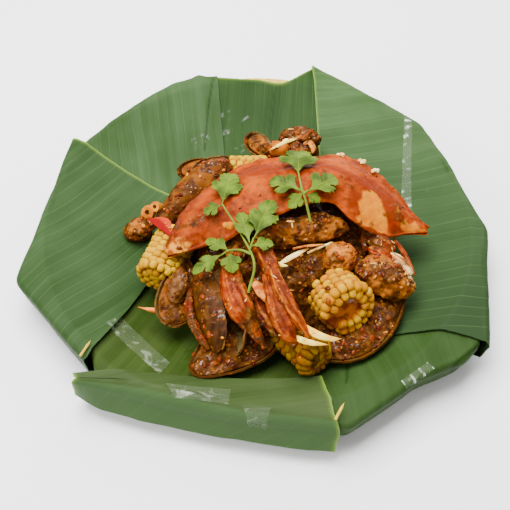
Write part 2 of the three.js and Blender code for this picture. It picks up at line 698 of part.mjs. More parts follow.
// ---------- Sauce ----------
// The heap fills the space under the pieces: a low dome, pressed down by whatever lies on it.
function sauceHeap(pieces) {
  const caster = new THREE.Raycaster();
  const [centreX, centreY] = HEAP_CENTRE;
  const plan = (u, v) => {
    const a = 2 * u - 1;
    const b = 2 * v - 1;
    const x = centreX + HEAP_RADII[0] * a * Math.sqrt(1 - (b * b) / 2);
    return point(x, centreY + HEAP_RADII[1] * b * Math.sqrt(1 - (a * a) / 2));
  };
  const bottomAt = (u, v) => {
    const p = plan(u, v);
    return p.setZ(bowl(p) + 3 * LEAF_LAYER + GAP);
  };
  const topAt = (u, v) => {
    const p = bottomAt(u, v);
    const out = Math.hypot((p.x - centreX) / HEAP_RADII[0], (p.y - centreY) / HEAP_RADII[1]);
    const dome = HEAP_HEIGHT * Math.max(0, 1 - out * out) ** 0.6;
    let limit = Infinity;
    for (const [dx, dy] of HEAP_PROBES) {
      caster.set(point(p.x + dx * HEAP_PROBE, p.y + dy * HEAP_PROBE, -1), point(0, 0, 1));
      const under = caster.intersectObjects(pieces, false);
      if (under.length) limit = Math.min(limit, under[0].point.z - HEAP_CLEARANCE);
    }
    return p.setZ(Math.max(p.z + 1.5, Math.min(p.z + 1.5 + dome, limit)));
  };
  const grid = [HEAP_GRID, HEAP_GRID];
  const heap = gridSolid(...grid, gridPoints(...grid, topAt), gridPoints(...grid, bottomAt));
  return add("sauce_heap", heap, finish(0x5a2010, 0.25));
}

// ---------- Fitting ----------
// A mesh's solid in the platter's frame, its corners pushed out by the gap when it is to cut a neighbour.
function placedSolid(mesh, grow) {
  const source = grow && mesh.userData.envelope ? mesh.userData.envelope : mesh.geometry;
  const bare = new THREE.BufferGeometry().setAttribute("position", source.getAttribute("position").clone());
  if (source.index) bare.setIndex(source.index);
  bare.applyMatrix4(mesh.matrixWorld);
  const merged = mergeVertices(bare, 1e-3);
  merged.computeVertexNormals();
  const position = merged.getAttribute("position");
  const normal = merged.getAttribute("normal");
  for (let i = 0; grow && i < position.count; i++) {
    position.setXYZ(
      i,
      position.getX(i) + GAP * normal.getX(i),
      position.getY(i) + GAP * normal.getY(i),
      position.getZ(i) + GAP * normal.getZ(i),
    );
  }
  return solidOf(merged);
}

// Cuts each mesh back from the ones before it in the list, so that no two overlap.
function fit(meshes) {
  platter.updateMatrixWorld(true);
  const placed = [];
  for (const mesh of meshes) {
    const box = new THREE.Box3().setFromObject(mesh);
    let solid = placedSolid(mesh, false);
    let cut = false;
    for (const other of placed) {
      if (!box.intersectsBox(other.box)) continue;
      if (solid.intersect(other.cutter).volume() < 1e-3) continue;
      solid = solid.subtract(other.cutter);
      cut = true;
    }
    if (cut) {
      const bodies = solid.decompose().sort((a, b) => b.volume() - a.volume());
      const inverse = mesh.matrixWorld.clone().invert();
      mesh.geometry = geometryOf(bodies[0]).applyMatrix4(inverse);
    }
    placed.push({ box, cutter: placedSolid(mesh, true).add(placedSolid(mesh, false)) });
  }
}

// ---------- Assembly ----------
tray();
leaves();
corn();
carapace();
claws();
legs();
mussels();
bodyPieces();
backPieces();
squidRing();
chilli();
coriander();
pins();
platter.updateMatrixWorld(true);
sauceHeap(platter.children.filter((mesh) => !/^(tray|leaf|pin|coriander)/.test(mesh.name)));
fit(platter.children);

export default platter;
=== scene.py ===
import json
import math
import random

import bpy
import numpy as np
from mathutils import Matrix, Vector
from mathutils.bvhtree import BVHTree

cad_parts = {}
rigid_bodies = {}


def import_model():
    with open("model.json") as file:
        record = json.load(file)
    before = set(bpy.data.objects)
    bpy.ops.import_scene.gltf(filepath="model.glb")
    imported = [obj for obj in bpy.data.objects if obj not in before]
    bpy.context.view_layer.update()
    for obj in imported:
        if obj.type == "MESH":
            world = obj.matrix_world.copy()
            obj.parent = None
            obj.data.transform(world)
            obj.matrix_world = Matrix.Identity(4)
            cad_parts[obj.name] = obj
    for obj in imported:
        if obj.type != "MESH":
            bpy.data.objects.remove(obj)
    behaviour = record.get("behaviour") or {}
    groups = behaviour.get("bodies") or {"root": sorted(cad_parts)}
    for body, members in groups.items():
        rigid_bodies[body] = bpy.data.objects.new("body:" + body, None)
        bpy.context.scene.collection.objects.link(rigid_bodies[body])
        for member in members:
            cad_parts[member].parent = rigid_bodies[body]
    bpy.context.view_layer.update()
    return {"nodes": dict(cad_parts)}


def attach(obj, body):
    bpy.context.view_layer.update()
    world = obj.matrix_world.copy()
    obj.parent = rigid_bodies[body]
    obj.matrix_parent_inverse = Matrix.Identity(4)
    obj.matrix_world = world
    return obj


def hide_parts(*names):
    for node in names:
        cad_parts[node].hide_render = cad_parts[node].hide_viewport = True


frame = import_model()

# ---------- Table, light and camera ----------
# The platter stands on a plain white table under a broad overhead light, with weaker ones from the left and
# from behind. The camera looks down on it over the front edge, a little over half a metre away.
camera_target = Vector((-0.0021, -0.0116, 0))
camera_height = math.radians(52)
camera_distance = 0.62
camera = bpy.data.objects.new("camera", bpy.data.cameras.new("camera"))
camera.data.lens = 56
camera.data.sensor_width = 36
camera.data.clip_start = 0.01
towards_camera = Vector((0, -math.cos(camera_height), math.sin(camera_height)))
camera.location = camera_target + camera_distance * towards_camera
camera.rotation_euler = towards_camera.to_track_quat("Z", "Y").to_euler()
bpy.context.collection.objects.link(camera)
bpy.context.scene.camera = camera


def window(name, place, size, power):
    """A soft square light that faces the middle of the platter."""
    lamp = bpy.data.lights.new(name, "AREA")
    lamp.size = size
    lamp.energy = power
    made = bpy.data.objects.new(name, lamp)
    made.location = place
    made.rotation_euler = Vector(place).to_track_quat("Z", "Y").to_euler()
    bpy.context.collection.objects.link(made)


window("light_overhead", (-0.2, 0.25, 1.15), 0.9, 46)
window("light_left", (-1.0, -0.5, 0.8), 0.5, 12)
window("light_back", (0.5, 1.0, 0.7), 0.5, 10)
bpy.context.scene.world = bpy.data.worlds.new("room")
bpy.context.scene.world.use_nodes = True
room = bpy.context.scene.world.node_tree.nodes["Background"]
room.inputs["Color"].default_value = (1, 1, 1, 1)
room.inputs["Strength"].default_value = 0.7


class Wire:
    """A socket of a finish's nodes. Sums with it add the nodes that they need."""

    def __init__(self, tree, socket):
        self.tree = tree
        self.socket = socket

    def node(self, kind, settings=None, inputs=None, output=0):
        """Any node: its settings first, then the values or wires of its sockets."""
        made = self.tree.nodes.new("ShaderNode" + kind)
        for key, value in (settings or {}).items():
            setattr(made, key, value)
        for key, value in (inputs or {}).items():
            if isinstance(value, Wire):
                self.tree.links.new(value.socket, made.inputs[key])
            else:
                made.inputs[key].default_value = value
        return Wire(self.tree, made.outputs[output])

    def maths(self, operation, *values):
        return self.node("Math", {"operation": operation}, dict(enumerate((self, *values))))

    def __add__(self, other):
        return self.maths("ADD", other)

    def __mul__(self, other):
        return self.maths("MULTIPLY", other)

    def __sub__(self, other):
        return self.maths("SUBTRACT", other)

    def __rsub__(self, other):
        return self * -1 + other

    def noise(self, scale, detail=4, distortion=0):
        inputs = {"Vector": self, "Scale": scale, "Detail": detail, "Distortion": distortion}
        return self.node("TexNoise", None, inputs)

    def step(self, low, high):
        """0 below low and 1 above high, with a soft step between."""
        inputs = {"Value": self, "From Min": low, "From Max": high}
        return self.node("MapRange", {"interpolation_type": "SMOOTHSTEP"}, inputs)

    def mix(self, none, full):
        """One colour where this is 0, the other where it is 1. A colour is a wire or its screen values."""
        none, full = (colour if isinstance(colour, Wire) else tone(*colour) for colour in (none, full))
        return self.node("Mix", {"data_type": "RGBA"}, {0: self, 6: none, 7: full}, 2)

    def scaled(self, x, y, z):
        """The vector with each axis scaled."""
        return self.node("VectorMath", {"operation": "MULTIPLY"}, {0: self, 1: (x, y, z)})

    def along(self, x, y, z):
        """How far the vector reaches in a direction."""
        return self.node("VectorMath", {"operation": "DOT_PRODUCT"}, {0: self, 1: (x, y, z)}, "Value")

    def waves(self):
        """Even ridges: 0 in their narrow grooves and 1 at their crests."""
        return self.maths("SINE").maths("ABSOLUTE")

    def bump(self, strength, distance):
        return self.node("Bump", None, {"Height": self, "Strength": strength, "Distance": distance})


def tone(red, green, blue):
    """A colour from its screen values, 0 to 255, as it shows under these bright lights."""
    return (*((v / 255) ** 3.0 for v in (red, green, blue)), 1)


class Finish:
    """A material. Values are set on its skin's own sockets, and wires are linked to them."""

    def __init__(self, name, **sockets):
        self.material = bpy.data.materials.new(name)
        self.material.use_nodes = True
        tree = self.material.node_tree
        self.skin = tree.nodes["Principled BSDF"]
        self.place = Wire(tree, tree.nodes.new("ShaderNodeTexCoord").outputs["Object"])
        self.noise = self.place.noise
        self.set(**sockets)

    def set(self, **sockets):
        for key, value in sockets.items():
            socket = self.skin.inputs[key.replace("_", " ")]
            if isinstance(value, Wire):
                value.tree.links.new(value.socket, socket)
            else:
                socket.default_value = value
        return self

    def reading(self, name):
        """A value kept at each corner of the mesh."""
        return self.place.node("Attribute", {"attribute_name": name}, None, "Fac")

    def specks(self, scale, low, high, patches, thin, thick):
        """Small round specks of that scale, strewn in patches."""
        apart = self.place.node("TexVoronoi", None, {"Vector": self.place, "Scale": scale}, "Distance")
        return (1 - apart.step(low, high)) * self.noise(patches, 2).step(thin, thick)


table_white = Finish("table_white", Base_Color=(0.97, 0.97, 0.97, 1), Roughness=0.9)
bpy.ops.mesh.primitive_plane_add(size=6)
table = bpy.context.object
table.name = "table"
table.data.materials.append(table_white.material)

# ---------- Tray ----------
# A round shallow tray of split bamboo with a smooth bound hoop as its rim.
# Its flat foot stands on the table, and almost all of it is hidden by the leaves.
TRAY_FOOT, TRAY_RIM, TRAY_HEIGHT, TRAY_WALL, TRAY_HOOP = 112, 158.8, 24, 2.4, 2.8
TRAY_BULGE = 0.05  # share by which the rim is drawn out at the very back


def handed_over(made, node):
    """Puts an object on the one body and the solid that it stands for."""
    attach(made, "root")
    if node:
        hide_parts(node)


def piece(name, corners, faces, finishes, slot=None, node=None, sharp=50, face_finish=None, **readings):
    """A mesh from corners in millimetres and lists of faces. A sheet's readings may be for its top only."""
    corners = np.reshape(corners, (-1, 3))
    mesh = bpy.data.meshes.new(name)
    mesh.from_pydata((corners / 1000).tolist(), [], [f for group in faces for f in group.tolist()])
    for key, values in readings.items():
        values = np.resize(values, len(corners)).astype(np.float32)
        mesh.attributes.new(key, "FLOAT", "POINT").data.foreach_set("value", values)
    if face_finish is not None:
        mesh.polygons.foreach_set("material_index", np.asarray(face_finish, np.int32))
    mesh.shade_smooth()
    mesh.set_sharp_from_angle(angle=math.radians(sharp))
    for finish in finishes:
        mesh.materials.append(finish.material)
    made = bpy.data.objects.new(name, mesh)
    bpy.context.collection.objects.link(made)
    handed_over(made, node)


def full_turn(count):
    """Angles spread evenly round a circle."""
    return np.linspace(0, 2 * math.pi, count, endpoint=False)


def spread(x, y, z):
    """Points from their three coordinates, each spread over the same grid."""
    return np.stack(np.broadcast_arrays(x, y, z), -1)


def ring_faces(rows, columns):
    """Faces of a grid whose columns close on themselves."""
    index = np.arange(rows * columns).reshape(rows, columns)
    after = np.roll(index, -1, axis=1)
    return np.stack([index[:-1], after[:-1], after[1:], index[1:]], -1).reshape(-1, 4)


def tube_faces(rows, columns):
    """Faces of rings of corners, with a flat end on the first and on the last ring."""
    ends = [np.arange(columns)[None, ::-1], np.arange((rows - 1) * columns, rows * columns)[None]]
    return [ring_faces(rows, columns), *ends]


wall = np.linspace(0, 1, 12)
hoop = np.linspace(-math.pi / 4, 3 * math.pi / 4, 10)
wall_radius = TRAY_FOOT + (TRAY_RIM - TRAY_FOOT) * wall
wall_height = (TRAY_HEIGHT - TRAY_WALL) * wall**1.25
profile = np.concatenate([
    [[0.5, 0], [TRAY_FOOT * 0.5, 0]],
    np.stack([wall_radius, wall_height], -1),
    np.stack([TRAY_RIM + TRAY_HOOP * np.cos(hoop), TRAY_HEIGHT + TRAY_HOOP * np.sin(hoop)], -1),
    np.stack([wall_radius - TRAY_WALL / 2, wall_height + TRAY_WALL], -1)[-2::-1],
    [[TRAY_FOOT * 0.5, TRAY_WALL], [0.5, TRAY_WALL]],
])
turn = full_turn(144)
radius, height = profile[:, :1], profile[:, 1:]
drawn_out = np.clip((radius - TRAY_FOOT) / (TRAY_RIM - TRAY_FOOT), 0, 2) * np.clip(np.sin(turn), 0, 1) ** 4
tray_corners = spread(radius * np.cos(turn), radius * np.sin(turn) * (1 + TRAY_BULGE * drawn_out), height)
bamboo = Finish("bamboo", Roughness=0.45)
fibre = bamboo.place.scaled(1, 1, 6).noise(160, 5)
bamboo.set(
    Base_Color=fibre.step(0.3, 0.75).mix((222, 200, 30), (190, 158, 20)),
    Normal=fibre.bump(0.25, 0.0006),
)
piece("tray_bamboo", tray_corners, tube_faces(len(profile), len(turn)), [bamboo], "bamboo", "tray")

# ---------- Banana leaves ----------
# Pieces of fresh banana leaf line the tray and are folded over its rim.
# Each is a thin sheet that lies in the tray's bowl, ribbed across by its fine parallel veins.
LEAF_THICKNESS, LEAF_LAYER, LEAF_FOLD, LEAF_HANG, LEAF_TUCK = 0.7, 1.6, 4, 12, 12
LEAF_GRAIN = 2.0  # size of a leaf's mesh
BOWL_FLAT, BOWL_EDGE, BOWL_FLOOR, BOWL_DEPTH = 88, 160, 4, 25.5
FINE_VEINS, TEAR_WIDTH, PALE_WIDTH = 1.9, 0.9, 1.5


def bowl(corners):
    """Height of the bowl that the leaves make, at each point."""
    slope = (np.hypot(corners[..., 0], corners[..., 1]) - BOWL_FLAT) / (BOWL_EDGE - BOWL_FLAT)
    return BOWL_FLOOR + BOWL_DEPTH * np.clip(slope, 0, 1) ** 1.5


def along_line(line, shares):
    """Points at shares of a broken line's length."""
    line = np.asarray(line, float)
    walked = np.r_[0, np.cumsum(np.linalg.norm(np.diff(line, axis=0), axis=1))]
    return np.stack([np.interp(np.asarray(shares) * walked[-1], walked, axis) for axis in line.T], -1)


def softened(line, reach):
    """A line of points with its corners rounded and its ends kept."""
    mean = np.ones(2 * reach + 1) / (2 * reach + 1)
    padded = np.concatenate([2 * line[:1] - line[reach:0:-1], line, 2 * line[-1:] - line[-2:-reach - 2:-1]])
    return np.stack([np.convolve(axis, mean, "valid") for axis in padded.T], -1)


def unevenness(points, size, seed=0):
    """Smooth random values between -1 and 1, with features of that size in millimetres."""
    q = np.asarray(points) / size + 31.7 * (seed + 1)
    low = np.floor(q).astype(np.int64)
    share = q - low
    share = share * share * (3 - 2 * share)
    total = 0
    for corner in np.ndindex(2, 2, 2):
        cell = low + corner
        mixed = (cell[..., 0] * 73856093) ^ (cell[..., 1] * 19349663) ^ (cell[..., 2] * 83492791)
        mixed = (mixed ^ (mixed >> 13)) * 1274126177
        value = ((mixed ^ (mixed >> 16)) & 0xFFFF) / 32767.5 - 1
        total = total + value * np.prod(np.where(corner, share, 1 - share), axis=-1)
    return total


def bumps(points, relief, seed=0):
    """Unevenness of several sizes, each with its height, one on the other."""
    return sum(height * unevenness(points, size, seed + k) for k, (size, height) in enumerate(relief))


def unit(vectors):
    """Vectors brought to a length of 1."""
    return vectors / np.maximum(np.linalg.norm(vectors, axis=-1, keepdims=True), 1e-9)


def directions(grid):
    """Unit normals of a grid of points."""
    return unit(np.cross(np.gradient(grid, axis=1), np.gradient(grid, axis=0)))


def sheet(top, thickness):
    """Corners and faces of a closed thin solid below a grid of points: top, bottom, then its edge."""
    rows, columns = top.shape[:2]
    count = rows * columns
    bottom = top - directions(top) * thickness
    index = np.arange(count).reshape(rows, columns)
    upper = np.stack([index[:-1, :-1], index[:-1, 1:], index[1:, 1:], index[1:, :-1]], -1).reshape(-1, 4)
    edge = np.concatenate([index[0], index[1:, -1], index[-1, -2::-1], index[-2:0:-1, 0]])
    rim = np.stack([edge, edge + count, np.roll(edge, -1) + count, np.roll(edge, -1)], -1)
    return np.stack([top, bottom]).reshape(-1, 3), [upper, upper[:, ::-1] + count, rim]


def share_along(corners, start, end):
    """How far each corner lies in plan on the way from start to end, held between 0 and 1."""
    way = np.subtract(end, start).astype(float)
    return np.clip(((corners[..., :2] - start) @ way) / (way @ way), 0, 1)


def away_from(corners, line):
    """Distance in plan from each corner to a broken line."""
    gaps = []
    for start, end in zip(line[:-1], line[1:]):
        foot = start + share_along(corners, start, end)[..., None] * np.subtract(end, start)
        gaps.append(np.linalg.norm(corners[..., :2] - foot, axis=-1))
    return np.minimum.reduce(gaps)


def shares_grid(columns, rows):
    """Shares along and across a grid of points."""
    return np.meshgrid(np.linspace(0, 1, columns), np.linspace(0, 1, rows))


def leaf_finish(name, veins, light, dark, spacing=8.5, low=None, wall=None, clear=0.15):
    """Waxy green, clouded along its veins, which run at that angle in plan and are a little paler."""
    green = Finish(name, Specular_IOR_Level=0.05, Coat_Roughness=0.12)
    c, s = math.cos(math.radians(veins)), math.sin(math.radians(veins))
    travel = green.place.along(-s, c, 0) + green.noise(9, 2) * 0.012
    lengthwise = green.place.along(c, s, 0)
    grainwise = green.place.node("CombineXYZ", None, {"X": travel * 1000, "Y": lengthwise * 30})
    wander = grainwise.scaled(0.05, 0.3, 0).noise(1, 1) * 6
    lines = ((travel * 1000 + wander) * (math.pi / spacing)).waves()
    fine = (travel * (math.pi * 1000 / FINE_VEINS)).waves()
    vein = (1 - lines.step(0.01, 0.15)) * grainwise.scaled(0.02, 0.6, 0).noise(1, 2).step(0.3, 0.6)
    broad = grainwise.scaled(0.09, 0.12, 0).noise(1, 3)
    narrow = grainwise.scaled(0.6, 0.3, 0).noise(1, 3)
    cloud = green.noise(16, 5)
    body = (cloud * 0.45 + broad * 0.4 + narrow * 0.15).step(0.36, 0.64).mix(dark, light)
    # Painted shade: a leaf given a low colour darkens towards the far end of its run, for the light that
    # falls off across it.
    if low:
        body = green.reading("low").mix(body, low)
    body = (fine.step(0.1, 0.9) * 0.1).mix(body, dark)
    # Painted sheen: the part of a leaf that hangs over the rim is made paler and bluer, for the light it
    # reflects.
    if wall:
        body = (green.reading("wall") * 0.8).mix(body, wall)
    wet = green.reading("wet")
    for share, colour in (
        (vein * clear, (140, 166, 112)),
        (green.noise(420, 3).step(0.68, 0.8) * 0.2, (80, 92, 30)),
        (green.reading("pale_edge") * 0.6, (150, 176, 84)),
        # Painted shade: a dark line along each tear, for the shade in its dent.
        (green.reading("torn") * 0.7, (44, 66, 26)),
        (wet * 0.4, (70, 80, 30)),
    ):
        body = share.mix(body, colour)
    return green.set(
        Base_Color=body,
        Roughness=cloud * 0.25 + 0.38 - wet * 0.35,
        Coat_Weight=wet * 0.5,
        Normal=(lines.step(0, 0.5) * 0.5 + fine * 0.12 + cloud * 0.3 + narrow * 0.15).bump(0.18, 0.0006),
    )


def leaf(name, inner, outer, layer, finish, hang=None, wraps=True, arch=0, pale=(), tears=(), pleat=None,
         wet=(), painted_shade_run=None, bend=LEAF_FOLD):
    """A leaf from its inner line over the fold at its outer line; both lines run clockwise."""
    length = np.linalg.norm(np.diff(np.array(outer, float), axis=0), axis=1).sum()
    shares = np.linspace(0, 1, int(length / LEAF_GRAIN) + 1)
    fold = softened(along_line(outer, shares), 2)
    foot = along_line(inner, shares)
    out = unit(fold)
    lift = layer * LEAF_LAYER
    bend = np.minimum(bend, 0.6 * np.linalg.norm(fold - foot, axis=1))[:, None]
    edge = fold - out * (bend if wraps else 0)
    rows = int(np.linalg.norm(edge - foot, axis=1).max() / LEAF_GRAIN)
    share = np.linspace(0, 1, rows + 1)[:, None, None]
    plan = foot + (edge - foot) * share
    bow = arch * shares**6 * np.sin(math.pi * share[..., 0])
    plan[..., 1] += bow
    grid = np.concatenate([plan, (bowl(plan) + lift + bow / 3)[..., None]], -1)
    if wraps:
        crest = (bowl(fold) + lift)[:, None]
        over = [
            np.c_[fold + out * (bend * (math.sin(angle) - 1)), crest + bend * (math.cos(angle) - 1)]
            for angle in np.linspace(0, math.pi / 2, 9)[1:]
        ]
        hem = softened(along_line(hang or np.array(outer) * 0.985, shares), 2)
        hem = np.c_[hem, np.full(len(hem), LEAF_HANG)]
        down = [over[-1] + (hem - over[-1]) * step for step in np.linspace(0, 1, 9)[1:]]
        under = [hem - np.c_[out * LEAF_TUCK, np.full(len(hem), 3)] * step for step in (0.15, 0.5, 1)]
        grid = np.concatenate([grid, over, down, under])
    flat = grid * (1, 1, 0)
    swell = 0.75 * unevenness(flat, 42) + 0.2 * unevenness(flat, 14, layer)
    swell[rows:] = bumps(grid[rows:], ((26, 0.7), (9, 0.3)), 3)
    if pleat:
        where, width, height = pleat
        ridge = np.exp(-(((shares - where) * length / width) ** 2))
        swell[: rows + 4] += height * ridge * np.linspace(0, 1, rows + 4)[:, None] ** 2
    torn, rim, damp, low, painted_sheen_wall = np.zeros((5, *grid.shape[:2]))
    # Each tear dents the leaf, and the same share paints a dark line of shade along it.
    for line in tears:
        torn = np.maximum(torn, np.exp(-((away_from(grid, line) / TEAR_WIDTH) ** 2)))
    grid += directions(grid) * (swell - 0.5 * torn)[..., None]
    jagged = np.c_[np.arange(len(grid)) * LEAF_GRAIN, np.zeros(len(grid)), np.full(len(grid), 7.0 * layer)]
    nibble = (0.5 * unevenness(jagged, 9) + 0.35 * unevenness(jagged, 3))[:, None] / LEAF_GRAIN
    grid[:, 0] += nibble * (grid[:, 1] - grid[:, 0])
    grid[:, -1] += nibble * (grid[:, -2] - grid[:, -1])
    for end in pale:
        start_line = {"start": grid[:, :1], "end": grid[:, -1:], "hem": grid[-1:]}[end]
        rim = np.maximum(rim, np.exp(-((np.linalg.norm(grid - start_line, axis=-1) / PALE_WIDTH) ** 2)))
    for x, y, reach in wet:
        near = np.clip(1.4 - np.hypot(grid[..., 0] - x, grid[..., 1] - y) / reach, 0, 1)
        damp = np.maximum(damp, near * np.clip(unevenness(flat, 1.6, 9) * 4 - 1.4, 0, 1))
    # Painted shade: the share of the way along the run, which darkens the leaf towards its end.
    if painted_shade_run:
        low = share_along(grid, *painted_shade_run)
    # Painted sheen: marks the part over the rim and down the wall, which is painted paler and bluer.
    painted_sheen_wall[rows + 3:] = 1
    piece(name, *sheet(grid, LEAF_THICKNESS), [finish], "banana_leaf", name.replace("_green", ""),
          pale_edge=rim, torn=torn, wet=damp, low=low, wall=painted_sheen_wall)


leaf(
    "leaf_base_green",
    [[108, -48], [76, 76], [-70, 64]],
    [[20, -165], [-20, -163], [-60, -153], [-108, -135], [-112, -119], [-145, -82]],
    0,
    leaf_finish("leaf_base_finish", 68, (84, 99, 57), (66, 84, 38), 7, clear=0.06),
    wet=[(-70, -84, 9), (-52, -108, 8)],
)
leaf(
    "leaf_back_middle_green",
    [[-30, 44], [14, 42], [62, 44]],
    [[-42, 165], [2, 161], [14, 157.5], [24, 157], [33, 163], [51, 178]],
    1,
    leaf_finish("leaf_back_middle_finish", 86, (76, 100, 60), (58, 82, 42), 7, clear=0.1),
    wraps=False,
    tears=[[(15.5, 151.7), (12.7, 125.8), (9.1, 97.5), (8, 80)]],
    wet=[(-28, 130, 4), (-11, 128, 3), (-25, 111, 5), (-15, 98, 4)],
    pale=["hem"],
)
leaf(
    "leaf_front_right_green",
    [[92, -66], [62, -80], [28, -92]],
    [[148, -75], [151, -111], [137, -125], [106, -137.5], [92, -149], [57, -173.5], [36, -168]],
    1,
    leaf_finish("leaf_front_right_finish", 100, (78, 98, 62), (65, 86, 46), 11, clear=0.05),
    tears=[[(149, -112), (129, -128), (118, -140)], [(62, -112), (60, -126), (58, -138)]],
)
leaf(
    "leaf_back_left_green",
    [[-68, 20], [-48, 34], [-24, 46]],
    [[-151, 62], [-142, 84], [-117, 116], [-94, 141], [-73, 159], [-57, 163.5], [-36, 166.5]],
    2,
    leaf_finish("leaf_back_left_finish", 98, (91, 113, 80), (72, 94, 56), 7),
    pleat=(0.9, 5, 2.2),
    tears=[[(-39, 160), (-43, 131), (-45, 94)]],
    wet=[(-53, 100, 4), (-45, 106, 4)],
)
leaf(
    "leaf_right_green",
    [[54, 58], [78, 20], [84, -40], [94, -98]],
    [[50, 182], [138, 105], [153, 61], [173, -11], [156, -113]],
    2,
    # Painted shade: this leaf darkens to (66, 84, 57) towards its front end, where less light falls on it.
    leaf_finish("leaf_right_finish", -3, (98, 122, 84), (78, 102, 62), 9, (66, 84, 57)),
    painted_shade_run=((80, 120), (150, -80)),
    arch=3,
    pale=["start"],
    wet=[(136, 38, 3)],
)
leaf(
    "leaf_left_green",
    [[-80, -40], [-66, 0], [-60, 38]],
    [[-116, -126], [-173, -60], [-153, 85]],
    3,
    leaf_finish("leaf_left_finish", 56, (83, 104, 71), (66, 88, 53), 7.5),
    pale=["end"],
)
leaf(
    "leaf_front_strip_green",
    [[42, -132], [28, -133], [-45, -133], [-98, -133], [-121, -136]],
    [[51, -175], [-15, -167], [-70, -153], [-121, -142]],
    3,
    # Painted sheen: the wall of this strip that hangs over the rim is paler and bluer, (92, 114, 80).
    leaf_finish("leaf_front_strip_finish", 12, (90, 104, 70), (74, 90, 54), 6, wall=(92, 114, 80),
                clear=0.08),
    hang=[[49, -181], [22, -178.5], [-26, -171], [-51, -165], [-77, -159], [-109, -149], [-123, -140]],
    pale=["start", "end"],
    bend=11,
)

share, side = shares_grid(40, 7)
side = 2 * side - 1
shred = np.array((-168, -26, 25)) + np.array((-6.5, -24.0, -8)) * share[..., None]
shred[..., 0] += side * 1.6 * np.sin(math.pi * (0.08 + 0.9 * share)) ** 0.7 - 2 * np.sin(math.pi * share)
shred += 0.3 * unevenness(shred, 5, 6)[..., None]
shred_finish = leaf_finish("leaf_shred", 60, (110, 128, 90), (84, 104, 66))
piece("leaf_left_shred", *sheet(shred[:, ::-1], LEAF_THICKNESS), [shred_finish], "banana_leaf")

# ---------- Pins ----------
# Two short split-bamboo pins hold the folded leaves at the front and at the left.
# Each is a whittled stick, flattened in section and tapered at one end.


def laid(points, start, end, roll=0):
    """Points about their own X axis, turned to run from start to end, with their Z rolled from upright."""
    start, end = np.array(start, float), np.array(end, float)
    x = unit(end - start)
    y = unit(np.cross((0, 0, 1), x))
    z = np.cross(x, y)
    c, s = math.cos(math.radians(roll)), math.sin(math.radians(roll))
    return points @ np.array([x, c * y + s * z, c * z - s * y]) + (start + end) / 2


def rod(name, rings, finish, slot, node, **readings):
    """A closed skin from rings of points, with flat ends."""
    piece(name, rings, tube_faces(*rings.shape[:2]), [finish], slot, node, **readings)


pin_length = np.linspace(-6.5, 6.5, 12)[:, None]
pin_half = 0.9 * np.clip((6.9 - pin_length) / 4, 0.15, 1)
pin = spread(pin_length, pin_half * np.cos(full_turn(8)), 0.8 * pin_half * np.sin(full_turn(8)))
rod("pin_front_stick", laid(pin, (48, -170, 37), (54, -159, 37)), bamboo, "bamboo", "pin_front")
rod("pin_left_stick", laid(pin, (-117, -124, 36.5), (-112, -113, 36.5)), bamboo, "bamboo", "pin_left")

# ---------- Tape ----------
# Strips of clear sticky tape hold the leaves' edges together. They show only as pale marks along their
# wrinkles and creases, painted highlights where they catch the light.
# Each is a thin film pressed onto the leaf, wrinkled across its width.
TAPE_THICKNESS, TAPE_LIFT = 0.1, 0.6
TAPE_LOWEST = 12  # a film that runs off the leaves stays at its last height rather than drop lower


def touchable(pieces):
    """A tree that finds where a line meets the pieces, and the name of each of its faces' pieces."""
    corners, faces, owners = [], [], []
    for made in pieces:
        first = len(corners)
        corners += [corner.co[:] for corner in made.data.vertices]
        faces += [[first + corner for corner in face.vertices] for face in made.data.polygons]
        owners += [made.name] * len(made.data.polygons)
    return BVHTree.FromPolygons(corners, faces), owners


leaf_tree = touchable([
    made for made in bpy.data.objects if made.name.startswith("leaf_") and made.name.endswith("_green")
])[0]
clear_tape = Finish("clear_tape", Specular_IOR_Level=0.3, Coat_Weight=0.6, Coat_Roughness=0.1)
wrinkles = clear_tape.noise(90, 2, 1)
# Painted highlights: the film is nearly clear, and made pale and opaque only along its ribs and creases, for
# the light that they catch.
painted_glint = clear_tape.reading("rib") * wrinkles.step(0.42, 0.62) * 0.5
clear_tape.set(
    Base_Color=tone(220, 230, 205),
    Alpha=painted_glint + wrinkles.step(0.54, 0.74) * clear_tape.reading("crease") + 0.02,
    Roughness=wrinkles * 0.3 + 0.1,
    Normal=wrinkles.bump(0.4, 0.0008),
)


def tape(name, outline, ribs, crease):
    """A film laid over the leaves between four corners in plan. Ribs are the wrinkles along it, painted pale
    as highlights, and the crease glint is the share of painted highlight on its creases.
    """
    a, b, c, d = np.array(outline, float)
    share, across = shares_grid(60, 24)
    s, t = share[..., None], across[..., None]
    grid = (a * (1 - s) + b * s) * (1 - t) + (d * (1 - s) + c * s) * t
    height, seen = np.zeros(share.shape), 20.0
    for place in np.ndindex(*share.shape):
        found = leaf_tree.ray_cast(Vector((*grid[place] / 1000, 0.06)), Vector((0, 0, -1)))[0]
        seen = found.z * 1000 if found and found.z * 1000 > TAPE_LOWEST else seen
        height[place] = seen
    film = np.concatenate([grid, height[..., None] + TAPE_LIFT], -1)[:, ::-1]
    rib = np.clip(np.cos(share[:, ::-1] * ribs * 2 * math.pi) * 3 - 2, 0, 1) * (ribs > 0)
    piece(name, *sheet(film, TAPE_THICKNESS), [clear_tape], rib=rib, crease=crease)


tape("tape_right_strip", [(112, 3), (124, 113), (130, 113), (120, 3)], 15, 0.06)
tape("tape_front_right", [(93, -140), (112, -126), (116, -131), (96, -145)], 3, 0.4)
tape("tape_strip", [(-60, -142), (-18, -144), (-19, -158), (-54, -153)], 0, 0.16)
tape("tape_strip_low", [(-9, -161), (8, -161), (5, -170), (-7, -168)], 0, 0.2)
tape("tape_base", [(-106, -90), (-96, -81), (-60, -118), (-66, -130)], 0, 0.1)

